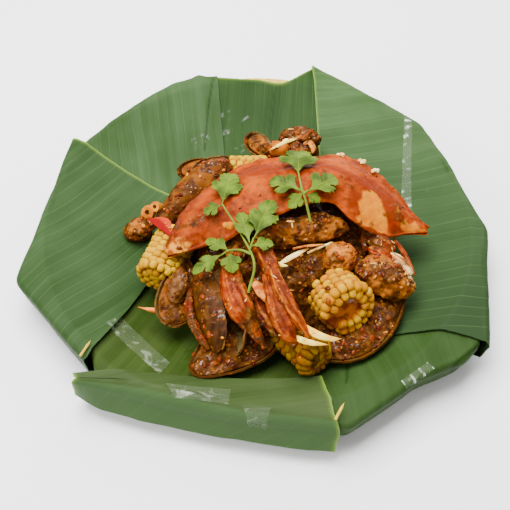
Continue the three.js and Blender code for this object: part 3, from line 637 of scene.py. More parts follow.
# ---------- Chilli sauce ----------
# A thick glossy sauce of chilli, garlic and egg fills the heap and coats the crab and the shells.
# It is dark red-brown, grainy with minced garlic, and lies in lumps rather than flat.
SAUCE_DARK, SAUCE_RED, SAUCE_ORANGE, SAUCE_BITS = (80, 48, 28), (114, 78, 40), (152, 108, 54), (186, 132, 66)


def sauced(name, skin, cover, colour=None, grain=0.4, gloss=0.75):
    """A finish of the piece's own skin colour under a share of sauce, with its bits."""
    coated = Finish(name, Coat_Roughness=0.12, Specular_IOR_Level=0.05)
    mask = coated.noise(85, 6, 0.6).step(0.68 - 0.55 * cover, 0.84 - 0.55 * cover)
    thick = coated.noise(150, 5, 0.4)
    sauce = thick.step(0.3, 0.7).mix(SAUCE_DARK, SAUCE_RED)
    sauce = (coated.noise(260).step(0.5, 0.72) * 0.85).mix(sauce, SAUCE_ORANGE)
    bits = coated.specks(300, 0.16, 0.36, 120, 0.54, 0.64)
    own = skin(coated) if callable(skin) else coated.noise(120, 5).step(0.3, 0.7).mix(skin, colour)
    height = thick * 0.7 + bits * 0.35 + mask * 0.25 + coated.noise(800, 3) * 0.2
    return coated.set(
        Base_Color=(bits * mask * 0.7).mix(mask.mix(own, sauce), SAUCE_BITS),
        Roughness=thick * 0.3 + 0.35,
        Coat_Weight=(mask * 0.8 + 0.1) * coated.noise(330, 3).step(0.56, 0.66) * gloss,
        Normal=height.bump(grain, 0.0014),
    )


def remade(name, node, finish, voxel, relief):
    """A fine lumpy skin over a solid's own form."""
    rough = bpy.data.objects.new(name, frame["nodes"][node].data.copy())
    rough.data.materials.clear()
    bpy.context.collection.objects.link(rough)
    remesh = rough.modifiers.new("remesh", "REMESH")
    remesh.mode = "VOXEL"
    remesh.voxel_size = voxel / 1000
    rough.modifiers.new("smooth", "SMOOTH").iterations = 3
    skin = bpy.data.meshes.new_from_object(rough.evaluated_get(bpy.context.evaluated_depsgraph_get()))
    rough.modifiers.clear()
    rough.data = skin
    skin.name = name
    corners, normals = np.empty((2, len(skin.vertices), 3))
    skin.vertices.foreach_get("co", corners.ravel())
    skin.vertices.foreach_get("normal", normals.ravel())
    corners += normals * bumps(corners * 1000, relief)[:, None] / 1000
    skin.vertices.foreach_set("co", corners.ravel())
    skin.shade_smooth()
    skin.materials.append(finish.material)
    handed_over(rough, node)


heap_finish = sauced("heap_sauce", (84, 48, 24), 0.9, (52, 28, 16), 0.6)
remade("sauce_heap_lumps", "sauce_heap", heap_finish, 1.3, ((11, 2.2), (4.5, 1.3), (2.2, 0.5)))

# ---------- Crab's back shell ----------
# The shell of a large swimming crab, fired orange by cooking and set on top of the heap.
# It is a thin domed patch with a toothed front edge, blotched red and yellow, grainy, and glazed with sauce.
SHELL_THICKNESS, SHELL_RISE, SHELL_TEETH = 2.2, 11, 19
FRONT_MARGIN = [(-66, -44, 47.5), (-61, -27, 51), (-52, -11, 56), (-38, 5, 57.5), (-16, 25, 59),
                (9, 33, 61), (36, 34, 61), (62, 37, 60), (77, 32, 58.5), (91, 22.5, 55), (107, 5, 49),
                (114.5, -8, 45), (125, -19, 42.5)]
REAR_MARGIN = [(-63.5, -48, 46), (-49.5, -46, 48), (-36.5, -43.5, 51), (-23, -43, 55.5), (-9, -37.5, 62),
               (12, -31, 68.5), (33, -23.5, 72.5), (52, -21.5, 72), (64, -30, 66), (79, -34, 55.5),
               (96, -33, 47.5), (107, -27, 44), (124, -23, 41.5)]


def curve(line, shares):
    """Points on a smooth curve through a line's corners, each span of it taking an equal share."""
    line = np.asarray(line, float)
    ends = np.concatenate([2 * line[:1] - line[1:2], line, 2 * line[-1:] - line[-2:-1]])
    place = np.clip(np.asarray(shares) * (len(line) - 1), 0, len(line) - 1 - 1e-9)
    k = place.astype(int)
    t = (place - k)[:, None]
    gaps = np.linalg.norm(np.diff(ends, axis=0), axis=1) ** 0.5
    a, b, c, d = (ends[k + i] for i in range(4))
    g0, g1, g2 = (gaps[k + i][:, None] for i in range(3))
    m1 = ((b - a) / g0 - (c - a) / (g0 + g1) + (c - b) / g1) * g1
    m2 = ((c - b) / g1 - (d - b) / (g1 + g2) + (d - c) / g2) * g1
    return b + m1 * t + (3 * (c - b) - 2 * m1 - m2) * t**2 + (2 * (b - c) + m1 + m2) * t**3


def band(shares, middle, width):
    """1 along a line of the shell, at that share of the way over it, and 0 away from it."""
    return np.exp(-(((shares - middle) / width) ** 2))


u = np.linspace(0, 1, 280)
v = np.linspace(0, 1, 100)[:, None]
fore, aft = curve(FRONT_MARGIN, u), curve(REAR_MARGIN, u)
dome = np.sin(math.pi * np.clip(u, 1e-4, 1 - 1e-4)) ** 0.7
shell = aft + (fore - aft) * v[..., None]
teeth = (1 - np.abs((u * SHELL_TEETH) % 1 - 0.5) * 2) ** 1.4 * 2.2 * dome
shell += unit(fore - aft) * (teeth * np.clip((v - 0.93) / 0.07, 0, 1))[..., None]
shell[..., 2] += SHELL_RISE * dome * np.sin(math.pi * v)
swell = bumps(shell, ((16, 0.5), (5, 0.34), (2.2, 0.2)), 2)
swell += 0.9 * band(v, 0.95, 0.02) + 0.7 * band(v, 0.03, 0.02) - 0.8 * band(v, 0.88, 0.025)
swell -= 0.5 * band(v, 0.62, 0.05) * (np.abs(u - 0.45) < 0.3)
shell += directions(shell) * swell[..., None]
SHELL_YELLOW = [[(76, -8), (82, -4), (86, -6), (89, -11), (92, -21), (93, -32), (83, -32), (71, -31),
                 (70, -29), (73, -26), (71, -17), (75, -14)],
                [(103, -22), (106, -18), (110, -20), (115, -17), (119, -22), (123, -22), (114, -25),
                 (104, -25)], [(101, -9), (103, -9), (104, -14), (101, -16)]]
# Painted highlights: paler peach patches where the light catches the dome.
SHELL_PAINTED_HIGHLIGHTS = [[(49, 26), (56, 22), (63, 22), (69, 15), (74, 11), (74, 7), (65, 7), (58, 11), (51, 14)],
               [(-8, 6), (4, 0), (6, -13), (-8, -9)], [(-50, -20), (-45, -21), (-46, -32), (-53, -34)],
               [(54, -2), (59, -4), (58, -7), (55, -7)], [(-40, 0), (-33, 5), (-35, -4), (-44, -15)]]
SHELL_RED = [[(41, 24), (47, 18), (54, 10), (62, 8), (72, 7), (83, 9), (90, 5), (96, 2), (104, -6),
              (108, -14), (104, -20), (100, -24), (104, -27), (97, -31), (94, -31), (93, -22), (90, -8),
              (83, -4), (77, -5), (71, -3), (67, 1), (61, 3), (51, 6), (43, 12)],
             [(-17, 13), (-11, 22), (-2, 25), (8, 18), (16, 14), (15, 4), (4, 5), (-5, 6), (-15, 5)],
             [(66, -6), (74, -10), (71, -24), (64, -22)]]
SHELL_BROWN = [[(-34, -19), (-24, -20), (-22, -33), (-32, -31)],
               [(94, -22), (98, -22), (103, -26), (96, -31)]]
SHELL_BROKEN = [[(-68, -44), (-61, -38), (-54, -38), (-48, -42), (-50, -47), (-64, -49)]]


def within(corners, outlines, soft):
    """1 inside outlines in plan and 0 outside them, with an uneven edge."""
    x, y = corners[..., 0], corners[..., 1]
    shares = []
    for outline in outlines:
        inside = np.zeros(x.shape, bool)
        for (x0, y0), (x1, y1) in zip(outline, outline[1:] + outline[:1]):
            inside ^= ((y0 > y) != (y1 > y)) & (x < (x1 - x0) * (y - y0) / (y1 - y0 + 1e-9) + x0)
        gap = away_from(corners, outline + outline[:1])
        edge = np.where(inside, gap, -gap) + bumps(corners, ((6, 1.1), (2, 0.6)), 1)
        shares.append(np.clip(edge / soft + 0.5, 0, 1))
    return np.maximum.reduce(shares)


def shell_colours(coated):
    """Orange, with red bands along the front edge and the right flank, clear yellow patches, and paler peach
    patches of painted highlight.
    """
    mottle = coated.noise(55, 6)
    fine = coated.noise(240, 5)
    grainy = (mottle * 0.45 + fine * 0.55).step(0.36, 0.64)
    even = mottle * 0.5 + fine * 0.5
    left = (1 - coated.place.along(1, 0, 0).step(-0.05, 0.0)) * 0.8
    body = grainy.mix((132, 62, 14), (180, 94, 14))
    for share, colour in (
        (left, grainy.mix((112, 52, 20), (156, 76, 20))),
        # Painted highlight: paler peach in those patches.
        (coated.reading("peach") * 0.8, (190, 104, 8)),
        (coated.reading("red") * even.step(0.36, 0.6) * 0.85, (134, 58, 30)),
        (coated.reading("brown") * 0.75, (128, 52, 22)),
        (coated.reading("yellow"), even.step(0.34, 0.66).mix((200, 122, 0), (210, 146, 0))),
        (coated.specks(420, 0.1, 0.24, 70, 0.4, 0.7) * 0.6, (128, 56, 20)),
        (coated.reading("broken") * 0.85, fine.step(0.4, 0.6).mix((166, 96, 24), (226, 168, 70))),
    ):
        body = share.mix(body, colour)
    return body


carapace_finish = sauced("carapace_shell", shell_colours, 0.24, grain=0.35, gloss=0.3)
piece("carapace_shell", *sheet(shell, SHELL_THICKNESS), [carapace_finish], "crab_shell", "carapace",
      yellow=within(shell, SHELL_YELLOW, 1.2), peach=within(shell, SHELL_PAINTED_HIGHLIGHTS, 9),
      red=within(shell, SHELL_RED, 3), brown=within(shell, SHELL_BROWN, 6),
      broken=within(shell, SHELL_BROKEN, 3))

# ---------- Crab's body, claws and legs ----------
# The body is chopped into lumps under the shell, each in its joint skin and soaked in sauce.
# The claws are ridged and orange-red with cream fingers; the legs at the right end in pale cut segments.
body_finish = sauced("body_meat", (146, 92, 36), 0.5, (184, 124, 50), 0.6)
for node in ("body_middle", "body_left", "body_right", "left_chunk"):
    remade(node + "_meat", node, body_finish, 0.7, ((9, 2.0), (4, 1.3), (1.8, 0.6)))


def ball(rings, columns, poles=0.0):
    """Points on a ball of radius 1, short of its poles by that angle."""
    tilt = np.linspace(poles - math.pi / 2, math.pi / 2 - poles, rings)[:, None]
    turn = full_turn(columns)
    return spread(np.cos(tilt) * np.cos(turn), np.cos(tilt) * np.sin(turn), np.sin(tilt))


def lump(name, node, middle, half, finish, relief, seed=0):
    """A rounded uneven lump about its middle."""
    whole = ball(70, 110, 0.02)
    skin = whole * half + middle
    rod(name, skin + whole * bumps(skin, relief, seed)[..., None], finish, "crab_body", node)


knuckle_finish = sauced("knuckle_meat", (172, 108, 38), 0.36, (206, 142, 62), 0.6)
back_claw_finish = sauced("back_claw_shell", (160, 90, 24), 0.3, (190, 120, 36))
chunk_finish = sauced("back_chunk_shell", (134, 76, 26), 0.66, (170, 104, 36))
knob_finish = sauced("knob_flesh", (192, 118, 6), 0.1, (206, 146, 20))
lump("body_right_knuckle_meat", "body_right_knuckle", (57.5, -50, 45), (12.5, 12, 11.5), knuckle_finish,
     ((9, 1.0), (3, 0.7), (1.4, 0.35)))
lump("back_chunk_meat", "back_chunk", (34, 92, 26), (16, 8.5, 9), chunk_finish,
     ((10, 3.0), (4, 1.4), (1.8, 0.6)), 3)
lump("back_chunk_corner_meat", None, (45, 89, 27), (8, 5, 6), chunk_finish,
     ((6, 2.0), (3, 1.2), (1.4, 0.5)), 6)
lump("back_chunk_base_meat", None, (10, 78, 18), (12, 9.5, 14), chunk_finish,
     ((7, 2.0), (3, 1.3), (1.6, 0.5)), 9)
lump("back_chunk_foot_meat", None, (33, 88, 15), (17, 9, 10), chunk_finish,
     ((8, 2.0), (3, 1.3), (1.6, 0.5)), 10)
lump("back_mussel_foot_meat", None, (-52, 63, 11.5), (9, 7.5, 8), chunk_finish,
     ((7, 1.6), (3, 1.0), (1.6, 0.5)), 11)
lump("left_chunk_foot_meat", None, (-93, 0, 14.5), (11, 9, 8), chunk_finish,
     ((7, 1.6), (3, 1.0), (1.6, 0.5)), 12)
lump("back_claw_meat", "back_claw", (18, 70, 34), (9.5, 7, 7), back_claw_finish, ((8, 1.2), (3, 0.5)), 5)
lump("back_claw_end_meat", None, (32, 68, 34), (9, 7, 8), chunk_finish, ((6, 1.6), (3, 1.0)), 7)


def flake(name, node, start, end, width, roll, dome, thickness, finish, seed=0):
    """A thin domed flake, pointed at both ends, with a broken edge."""
    u, v = shares_grid(70, 24)
    side = 2 * v - 1
    half = width / 2 * np.sin(math.pi * (0.05 + 0.9 * u)) ** 0.8
    top = spread((u - 0.5) * math.dist(start, end), side * half, dome * (1 - side**2) * np.sin(math.pi * u))
    top[..., 1] += 0.4 * unevenness(top, 3, seed) * side**2 * np.sign(side)
    top[..., 2] += 0.3 * unevenness(top, 2.5, seed + 1)
    piece(name, *sheet(laid(top, start, end, roll), thickness), [finish], "pale_shell", node, rim=side**4)


def flake_colours(pale, brown):
    """Pale flesh or shell, browned along its edge."""
    def colours(coated):
        body = coated.noise(170, 5).step(0.34, 0.66).mix(pale, brown)
        return (coated.reading("rim") * 0.6).mix(body, brown)
    return colours


cream_flake = sauced("cream_flake", flake_colours((251, 244, 180), (222, 170, 90)), 0.06, grain=0.3)
tan_flake = sauced("tan_flake", flake_colours((222, 160, 84), (170, 92, 30)), 0.16, grain=0.3)
flake("back_claw_flake", None, (20, 77, 38), (29, 75.5, 40), 3.6, 10, 1.2, 1.0, cream_flake, 12)
flake("shell_sliver_flake", "shell_sliver", (13, -64, 56), (35, -50, 57.5), 5.4, -20, 1.2, 1.2, cream_flake)
flake("body_middle_strand_a", None, (24, -52, 60), (46, -49, 60), 3.6, -35, 0.8, 1.2, tan_flake, 4)
flake("body_middle_strand_b", None, (34, -54, 57), (52, -46, 59), 3.2, -40, 0.8, 1.2, cream_flake, 9)
shell_crumb = sauced("shell_crumb", (251, 240, 190), 0.0, (222, 180, 110), 0.3)
crumbs = [(61, 35.5, 62.5), (63.5, 34, 64), (77, 32, 59.5), (78.5, 29, 62), (88, 24, 57.5), (87, 21, 60)]
for k, middle in enumerate(crumbs):
    lump(f"carapace_crumb_{k}", None, middle, (2.2, 1.6, 1.6), shell_crumb, ((2, 1.2), (1, 0.5)), 3 * k)
lump("carapace_knob", None, (-20.5, -33, 60.5), (4.6, 3.4, 3.4), knob_finish, ((3, 0.7), (1.4, 0.3)), 2)


def limb(name, node, spine, radius, flat, finish, ridges=(), sides=96, rings=150, relief=0.35, spikes=0,
         seed=0, slot="claw_shell"):
    """A closed skin round a curve. A ridge is its angle round the limb, its width in degrees, its height."""
    shares = np.linspace(0.003, 0.997, rings)
    line = curve(spine, shares)
    ahead = unit(curve(spine, np.clip(shares + 0.01, 0, 1)) - curve(spine, np.clip(shares - 0.01, 0, 1)))
    side = unit(np.cross(ahead, (0, 0, 1)))
    up = np.cross(side, ahead)
    turn = full_turn(sides)
    half = np.interp(shares, np.linspace(0, 1, len(radius)), radius) * np.sin(math.pi * shares**0.9) ** 0.22
    ridge = np.zeros(sides)
    for angle, width, height in ridges:
        gap = np.abs((np.degrees(turn) - angle + 180) % 360 - 180)
        ridge += height * np.exp(-((gap / width) ** 1.5))
    reach = (half[:, None] * (1 + 0.08 * np.cos(3 * turn) + ridge))[..., None]
    out = np.cos(turn)[:, None] * side[:, None] + flat * np.sin(turn)[:, None] * up[:, None]
    skin = line[:, None] + reach * out
    length = np.linalg.norm(np.diff(line, axis=0), axis=1).sum()

    def fibres(long, wide, seed):
        """Unevenness drawn out along the limb."""
        round_it = half.mean() / wide
        unrolled = spread((shares * length / long)[:, None], np.cos(turn) * round_it, np.sin(turn) * round_it)
        return unevenness(unrolled, 1, seed)

    fibre = fibres(5, 1.2, seed)
    rough = relief * (fibre + bumps(skin, ((2.6, 0.8), (1.1, 0.45)), seed))
    if spikes:
        rough += spikes * np.clip(unevenness(skin, 2.4, seed + 2) - 0.45, 0, 1) * 3
    skin += (skin - line[:, None]) / np.maximum(half[:, None, None], 0.5) * rough[..., None]
    rod(name, skin, finish, slot, node, crest=ridge * 4 + 0.5 * fibre,
        reach=np.repeat(shares, sides), streak=0.5 + 0.5 * fibres(13, 0.9, seed + 7))


def claw_colours(red, orange, yellow):
    """Red-orange shell with painted yellow highlights along its ridges, and darker brown down its grooves."""
    def colours(coated):
        crest, streak = coated.reading("crest"), coated.reading("streak")
        body = (coated.noise(150, 6) * 0.75 + streak * 0.25).step(0.36, 0.6).mix(red, orange)
        # Painted highlight: yellow where the ridges catch the light.
        painted_ridge_highlight = (crest * 0.5 + streak * 0.3 + coated.noise(300, 5) * 0.6).step(0.6, 0.92)
        body = (painted_ridge_highlight * 0.55).mix(body, yellow)
        groove = (crest * -0.8 + coated.noise(130, 5) * 1.1 - streak * 0.2).step(0.42, 0.86)
        body = (groove * 0.7).mix(body, (90, 42, 20))
        return (coated.specks(430, 0.14, 0.3, 110, 0.54, 0.64) * 0.5).mix(body, (240, 180, 70))
    return colours


def finger_colours(coated):
    """Cream, browned in patches and orange at its root and its tip."""
    body = coated.noise(160).step(0.3, 0.7).mix((251, 240, 140), (248, 196, 84))
    ends = (coated.reading("reach") - 0.5).maths("ABSOLUTE").step(0.26, 0.5)
    body = (ends * 0.8).mix(body, (190, 96, 24))
    return (coated.noise(240, 5).step(0.56, 0.7) * 0.6).mix(body, (150, 84, 24))


def clawed(name, red, orange, yellow, cover, gloss=0.75, grain=0.5):
    return sauced(name, claw_colours(red, orange, yellow), cover, grain=grain, gloss=gloss)


claw_finish = clawed("claw_shell", (118, 56, 24), (160, 86, 22), (208, 136, 30), 0.3, 0.6, 0.4)
speckled_finish = clawed("claw_speckled", (134, 60, 26), (176, 94, 28), (222, 156, 66), 0.36)
brown_finish = clawed("claw_saucy", (88, 38, 18), (134, 66, 26), (190, 126, 60), 0.45)
leg_orange = clawed("leg_orange", (134, 58, 22), (176, 94, 34), (222, 160, 90), 0.34)
leg_pale = clawed("leg_pale", (196, 134, 70), (234, 206, 150), (251, 236, 190), 0.26)
finger_finish = sauced("claw_finger", finger_colours, 0.06, grain=0.25)
tip_finish = sauced("leg_tip", (214, 118, 30), 0.06, (240, 166, 84))
limb("claw_right_arm_shell", "claw_right_arm", [(-1, -46, 60), (4, -57, 61), (11, -75, 60)], [5.6, 6.2, 7.4],
     0.8, claw_finish, [(55, 16, 0.12), (125, 16, 0.14), (90, 16, -0.1)], spikes=0.5)
limb("claw_right_hand_shell", "claw_right_hand",
     [(9, -69, 61), (15, -88, 60), (18.6, -96, 59), (23.7, -105.7, 57), (28.4, -112.5, 54.5),
      (33, -120, 52)], [5, 5.8, 5.4, 4.2, 3.4, 2], 0.85, claw_finish,
     [(52, 15, 0.2), (92, 12, -0.12), (128, 15, 0.14)], relief=0.28, seed=3)
limb("claw_right_hand_blade", "claw_right_hand",
     [(5, -70, 57), (7, -80.6, 58), (9.9, -91.8, 57), (12.8, -101.5, 55.5), (16.5, -110, 53.5),
      (20.5, -117.5, 51.5), (25, -121.5, 50.5)], [3.4, 3.8, 5, 6.4, 7, 6.4, 3.4], 0.7, claw_finish,
     [(48, 15, 0.14), (84, 11, -0.13), (116, 12, 0.1)], relief=0.32, seed=13)
limb("claw_right_hand_edge", "claw_right_hand", [(-1, -86, 49), (3, -97, 49), (8, -106, 48), (14, -116, 46)],
     [2, 4, 4.6, 2.4], 0.7, brown_finish, [(60, 14, 0.2), (110, 12, -0.2)], 64, 100, relief=0.5, seed=17)
limb("claw_right_finger_tip", "claw_right_finger",
     [(27, -110, 53.5), (35, -115.7, 52.5), (41, -119, 52), (49, -120.4, 51), (54, -119.8, 50.5)],
     [2.4, 2.7, 2.4, 1.7, 0.35], 0.8, finger_finish, [(90, 20, 0.2)], 32, 60, 0.12, slot="pale_shell")
limb("claw_right_thumb_tip", "claw_right_thumb", [(22, -118.5, 51), (34.4, -122.6, 50), (45.5, -123.8, 49.5)],
     [2.3, 2.2, 1.5, 0.3], 0.8, finger_finish, [(90, 20, 0.2)], 32, 60, 0.12, slot="pale_shell")
limb("claw_right_thorn", "claw_right_hand", [(13, -66, 60), (17, -68, 60.5), (20.5, -68.5, 61)],
     [2.2, 1.2, 0.2], 1, finger_finish, (), 20, 30, 0.1, slot="pale_shell")
flake("claw_right_scale", None, (-3.5, -76, 57), (6.5, -95, 56), 9, -14, 1.8, 0.9, tan_flake, 6)
limb("claw_left_hand_shell", "claw_left_hand",
     [(-21, -58, 50), (-15, -86, 47), (-6, -102, 41), (5, -116, 32)], [7.6, 8.8, 8.4, 5, 2.4], 0.8,
     speckled_finish, [(150, 22, 0.2), (112, 14, -0.06), (60, 16, 0.08)], relief=0.32, seed=5)
limb("leg_tip_shell", "leg_tip", [(-64, -83, 27), (-76, -80, 25), (-85, -77, 24)], [2.4, 1.6, 0.3], 1,
     tip_finish, (), 24, 40, 0.1, slot="pale_shell")
limb("back_claw_strut", None, [(9, 64, 39), (20, 70, 41), (32, 77, 40)], [0.9, 1.5, 1.3], 0.9, finger_finish,
     (), 24, 50, 0.2, slot="pale_shell")
limb("back_claw_curl", None, [(37, 74, 36), (42, 74.5, 38), (45, 69, 37), (44, 65, 35)], [1.6, 2.4, 2.2, 1.2],
     0.8, tan_flake, (), 32, 50, 0.3, slot="pale_shell")
limb("leg_right_upper_shell", "leg_right_upper", [(78, -30, 46), (88, -37, 47), (97, -44, 45)], [5, 6.2, 5],
     0.75, brown_finish, [(90, 14, 0.12), (40, 12, 0.1)], 64, 80, relief=0.6)
limb("leg_right_upper_joint", "leg_right_upper", [(79, -40, 45), (87, -45.6, 46), (95, -53.5, 44)],
     [3.6, 4.8, 4.2], 0.8, leg_orange, [(70, 14, 0.14)], 64, 80, relief=0.5, seed=2)
limb("leg_right_upper_stem", "leg_right_upper", [(76.4, -22, 46), (76.5, -32, 44), (77, -41, 41)],
     [2, 2.4, 2], 0.9, brown_finish, (), 32, 50, seed=3)
limb("leg_right_upper_edge", "leg_right_upper", [(98, -31, 44), (105, -46.5, 43.5), (110, -61, 40)],
     [1.5, 1.9, 1.4], 0.9, leg_orange, (), 32, 70, seed=4)
limb("leg_right_middle_shell", "leg_right_middle",
     [(93.5, -46, 45.5), (100.7, -53.9, 45), (107.5, -62.5, 42)], [3.4, 4.4, 4.2], 0.7, leg_pale,
     [(70, 14, 0.14), (120, 10, -0.12)], 64, 80, spikes=0.3, slot="pale_shell")
limb("leg_right_lower_shell", "leg_right_lower", [(98, -62, 41.5), (104.5, -66, 40.5), (110, -70, 37.5)],
     [3.4, 3.8, 1.8], 0.75, leg_pale, [(110, 14, 0.14)], 64, 80, spikes=0.5, seed=6, slot="pale_shell")
limb("leg_right_lower_edge", "leg_right_lower", [(92, -69, 38), (100.4, -71, 38), (108, -70, 37)],
     [2.4, 2.8, 1.4], 0.8, leg_orange, (), 48, 60, relief=0.5, seed=8)

# ---------- Corn ----------
# Four short lengths of sweetcorn cob, cut across, with sauce run down between the kernels.
# The rows of plump kernels are set on a core, close together and each a little different.
KERNEL_STEP, KERNEL_SEAT = 5.1, 3.2  # length of cob to a kernel, and how deep it sits
CORE_PROFILE = [(-0.5, 0.05), (-0.5, 0.45), (-0.5, 0.8), (-0.47, 0.86), (0.47, 0.86), (0.5, 0.8),
                (0.5, 0.45), (0.5, 0.05)]
corn_random = random.Random(5)


def blunt(value, power):
    return np.sign(value) * np.abs(value) ** power


tilt = np.linspace(-math.pi / 2, math.pi / 2, 7)[:, None]
spin = full_turn(12)
plump = blunt(np.cos(tilt), 0.7)
kernel_ball = spread(
    plump * blunt(np.cos(spin), 0.72), plump * blunt(np.sin(spin), 0.72), blunt(np.sin(tilt), 0.85))
kernel_corners = tilt.size * spin.size


def cob(name, node, length, radius, start, end, rows, finish, end_kernels=(), split=None):
    """Kernels about a core, each row half a kernel on. End kernels: share of radius, lean, length, width."""
    count = int(length / KERNEL_STEP)
    seats = []
    for j, i in np.ndindex(count, rows):
        angle = (i + 0.1 * j + 0.1 * math.sin(j)) / rows * 2 * math.pi
        x = (j + 0.27 + 0.46 * (i % 2)) / count * length - length / 2
        seats.append((x, radius, angle, 0, 0.53 * KERNEL_STEP, math.pi * radius / rows, 3.7))
    for share, lean, long, wide in end_kernels:
        around = max(1, round(math.pi * share * radius / wide * 1.05))
        x = length / 2 - 1.2 + 2.4 * math.sin(math.radians(lean))
        for i in range(around):
            angle = (i + 4 * share) / around * 2 * math.pi
            seats.append((x, radius * share + KERNEL_SEAT, angle, lean, long, wide, 3.8))
    corners, faces, level, shade = [], [], [], []
    for x, reach, angle, lean, *half in seats:
        if split and abs((math.degrees(angle) - split[0] + 180) % 360 - 180) < split[1] and x > split[2]:
            continue
        size = 1 + 0.08 * corn_random.uniform(-1, 1)
        half = np.array(half) * size
        kernel = kernel_ball * half
        dimple = 0.2 * half[2] * np.exp(-((kernel[..., :2] / half[:2]) ** 2).sum(-1) * 3)
        kernel[..., 2] -= dimple * (kernel[..., 2] > 0)
        level.append(kernel[..., 2].ravel() / half[2])
        c, s = math.cos(math.radians(lean)), math.sin(math.radians(lean))
        kernel = kernel @ np.array([[c, 0, -s], [0, 1, 0], [s, 0, c]])
        kernel[..., 2] += reach - KERNEL_SEAT * size + 0.3 * corn_random.uniform(-1, 1)
        kernel[..., 0] += x + 0.3 * corn_random.uniform(-1, 1)
        c, s = math.cos(angle), math.sin(angle)
        kernel = kernel @ np.array([[1, 0, 0], [0, c, s], [0, -s, c]])
        faces.append(ring_faces(*kernel.shape[:2]) + len(corners) * kernel_corners)
        corners.append(kernel.reshape(-1, 3))
        shade.append(np.full(kernel_corners, corn_random.random()))
    placed = len(corners) * kernel_corners
    x, r = np.array(CORE_PROFILE).T[..., None]
    turn = full_turn(32)
    core = spread(x * length, r * radius * np.cos(turn), r * radius * np.sin(turn))
    core += 0.35 * unevenness(core, 2.5, 8)[..., None] * np.sign(core)
    corners.append(core.reshape(-1, 3))
    faces.append(ring_faces(*core.shape[:2]) + placed)
    faces += [np.arange(first, first + 32)[None] for first in (placed, placed + (len(x) - 1) * 32)]
    level.append(np.full(core.size // 3, -1.0))
    shade.append(np.full(core.size // 3, 0.3))
    piece(name, laid(np.concatenate(corners), start, end), faces, [finish], "corn", node,
          sharp=70, level=np.concatenate(level), shade=np.concatenate(shade))


def corn_finish(name, light, dark, sauce):
    """Plump yellow kernels, each of its own tone, with orange sauce between them."""
    yellow = Finish(name, Coat_Roughness=0.06, Specular_IOR_Level=0.0)
    own = (yellow.reading("shade") * 0.7 + yellow.noise(240, 3) * 0.5).step(0.2, 0.9).mix(dark, light)
    deep = (1 - yellow.reading("level").step(-0.4, 0.5)) * 0.8
    between = yellow.noise(150, 2).step(0.4, 0.6).mix((186, 108, 17), (128, 52, 17))
    run = yellow.noise(75).step(0.62 - 0.3 * sauce, 0.78 - 0.3 * sauce) * 0.7 * (deep + 0.2)
    smear = yellow.noise(60, 5, 1).step(0.72 - 0.26 * sauce, 0.84 - 0.26 * sauce) * 0.5
    return yellow.set(
        Base_Color=smear.mix(run.mix(deep.mix(own, between), (140, 66, 17)), (196, 104, 17)),
        Coat_Weight=yellow.noise(260, 3).step(0.56, 0.64) * 0.6,
        Roughness=yellow.noise(300, 2) * 0.2 + 0.4,
        Normal=yellow.noise(500, 3).bump(0.12, 0.0006),
    )


bright_corn = corn_finish("corn_bright", (208, 172, 0), (190, 144, 0), 0.15)
saucy_corn = corn_finish("corn_saucy", (206, 166, 0), (188, 132, 0), 0.55)
dull_corn = corn_finish("corn_dull", (172, 138, 14), (112, 84, 10), 0.5)
cob("corn_left_kernels", "corn_left", 36, 16.4, (-60.5, -20, 30), (-72, -52, 28.5), 15, bright_corn,
    [(0.8, 34, 3.2, 2.8), (0.45, 78, 3.2, 2.8), (0.15, 86, 3.2, 2.8)])
cob("corn_right_kernels", "corn_right", 22, 19.4, (51.9, -75.6, 39), (60, -93, 47), 17, saucy_corn,
    [(0.86, 34, 3.6, 2.9), (0.6, 66, 3.5, 2.9)], (118, 24, 9))
cob("corn_front_kernels", "corn_front", 34, 12.6, (15, -96, 25.5), (39, -125.5, 33), 13, dull_corn,
    [(0.8, 36, 5.2, 2.6), (0.3, 70, 4.4, 2.6)])
cob("corn_back_kernels", "corn_back", 28, 16, (-19, 45, 30), (5, 46, 30), 14, bright_corn)

# ---------- Mussels and half shells ----------
# Open mussels stand among the claws, and two large half shells full of sauce lie at the front.
# A valve is thin, olive-brown and banded outside, pearly inside, with a pale worn lip.
VALVE_THICKNESS = 1.3


def valve_plan(u, side, length, width):
    """A valve's outline, narrow at the hinge and round at the lip, and its share of the depth there."""
    lip = np.sqrt(np.clip(1 - ((u - 0.62) / 0.385) ** 2, 0, 1))
    hinge = 0.16 + 0.84 * np.sin(math.pi / 2 * np.clip(u / 0.62, 0, 1)) ** 0.8
    half = np.where(u < 0.62, hinge, np.maximum(0.16, lip))
    hollow = (1 - np.abs(side) ** 2.4) * np.sin(math.pi * u) ** 0.6
    return (u - 0.5) * length, side * half * width, hollow


def valve_finishes(name, outside, band, inside, cover, edge=(132, 104, 58)):
    def banded(coated):
        rings = coated.reading("growth")
        streak = (rings * 60 + coated.noise(50, 3) * 6).maths("SINE").step(-0.9, 0.95) * 0.2
        streak = streak + coated.noise(60).step(0.32, 0.68) * 0.8
        return (rings.step(0.93, 0.99) * 0.7).mix(streak.mix(band, outside), (160, 126, 66))

    return [
        sauced(name + "_inside", inside, cover * 0.8, (111, 74, 26), 0.25),
        sauced(name + "_outside", banded, cover, grain=0.3),
        sauced(name + "_lip", edge, cover, (96, 64, 30), 0.2),
    ]


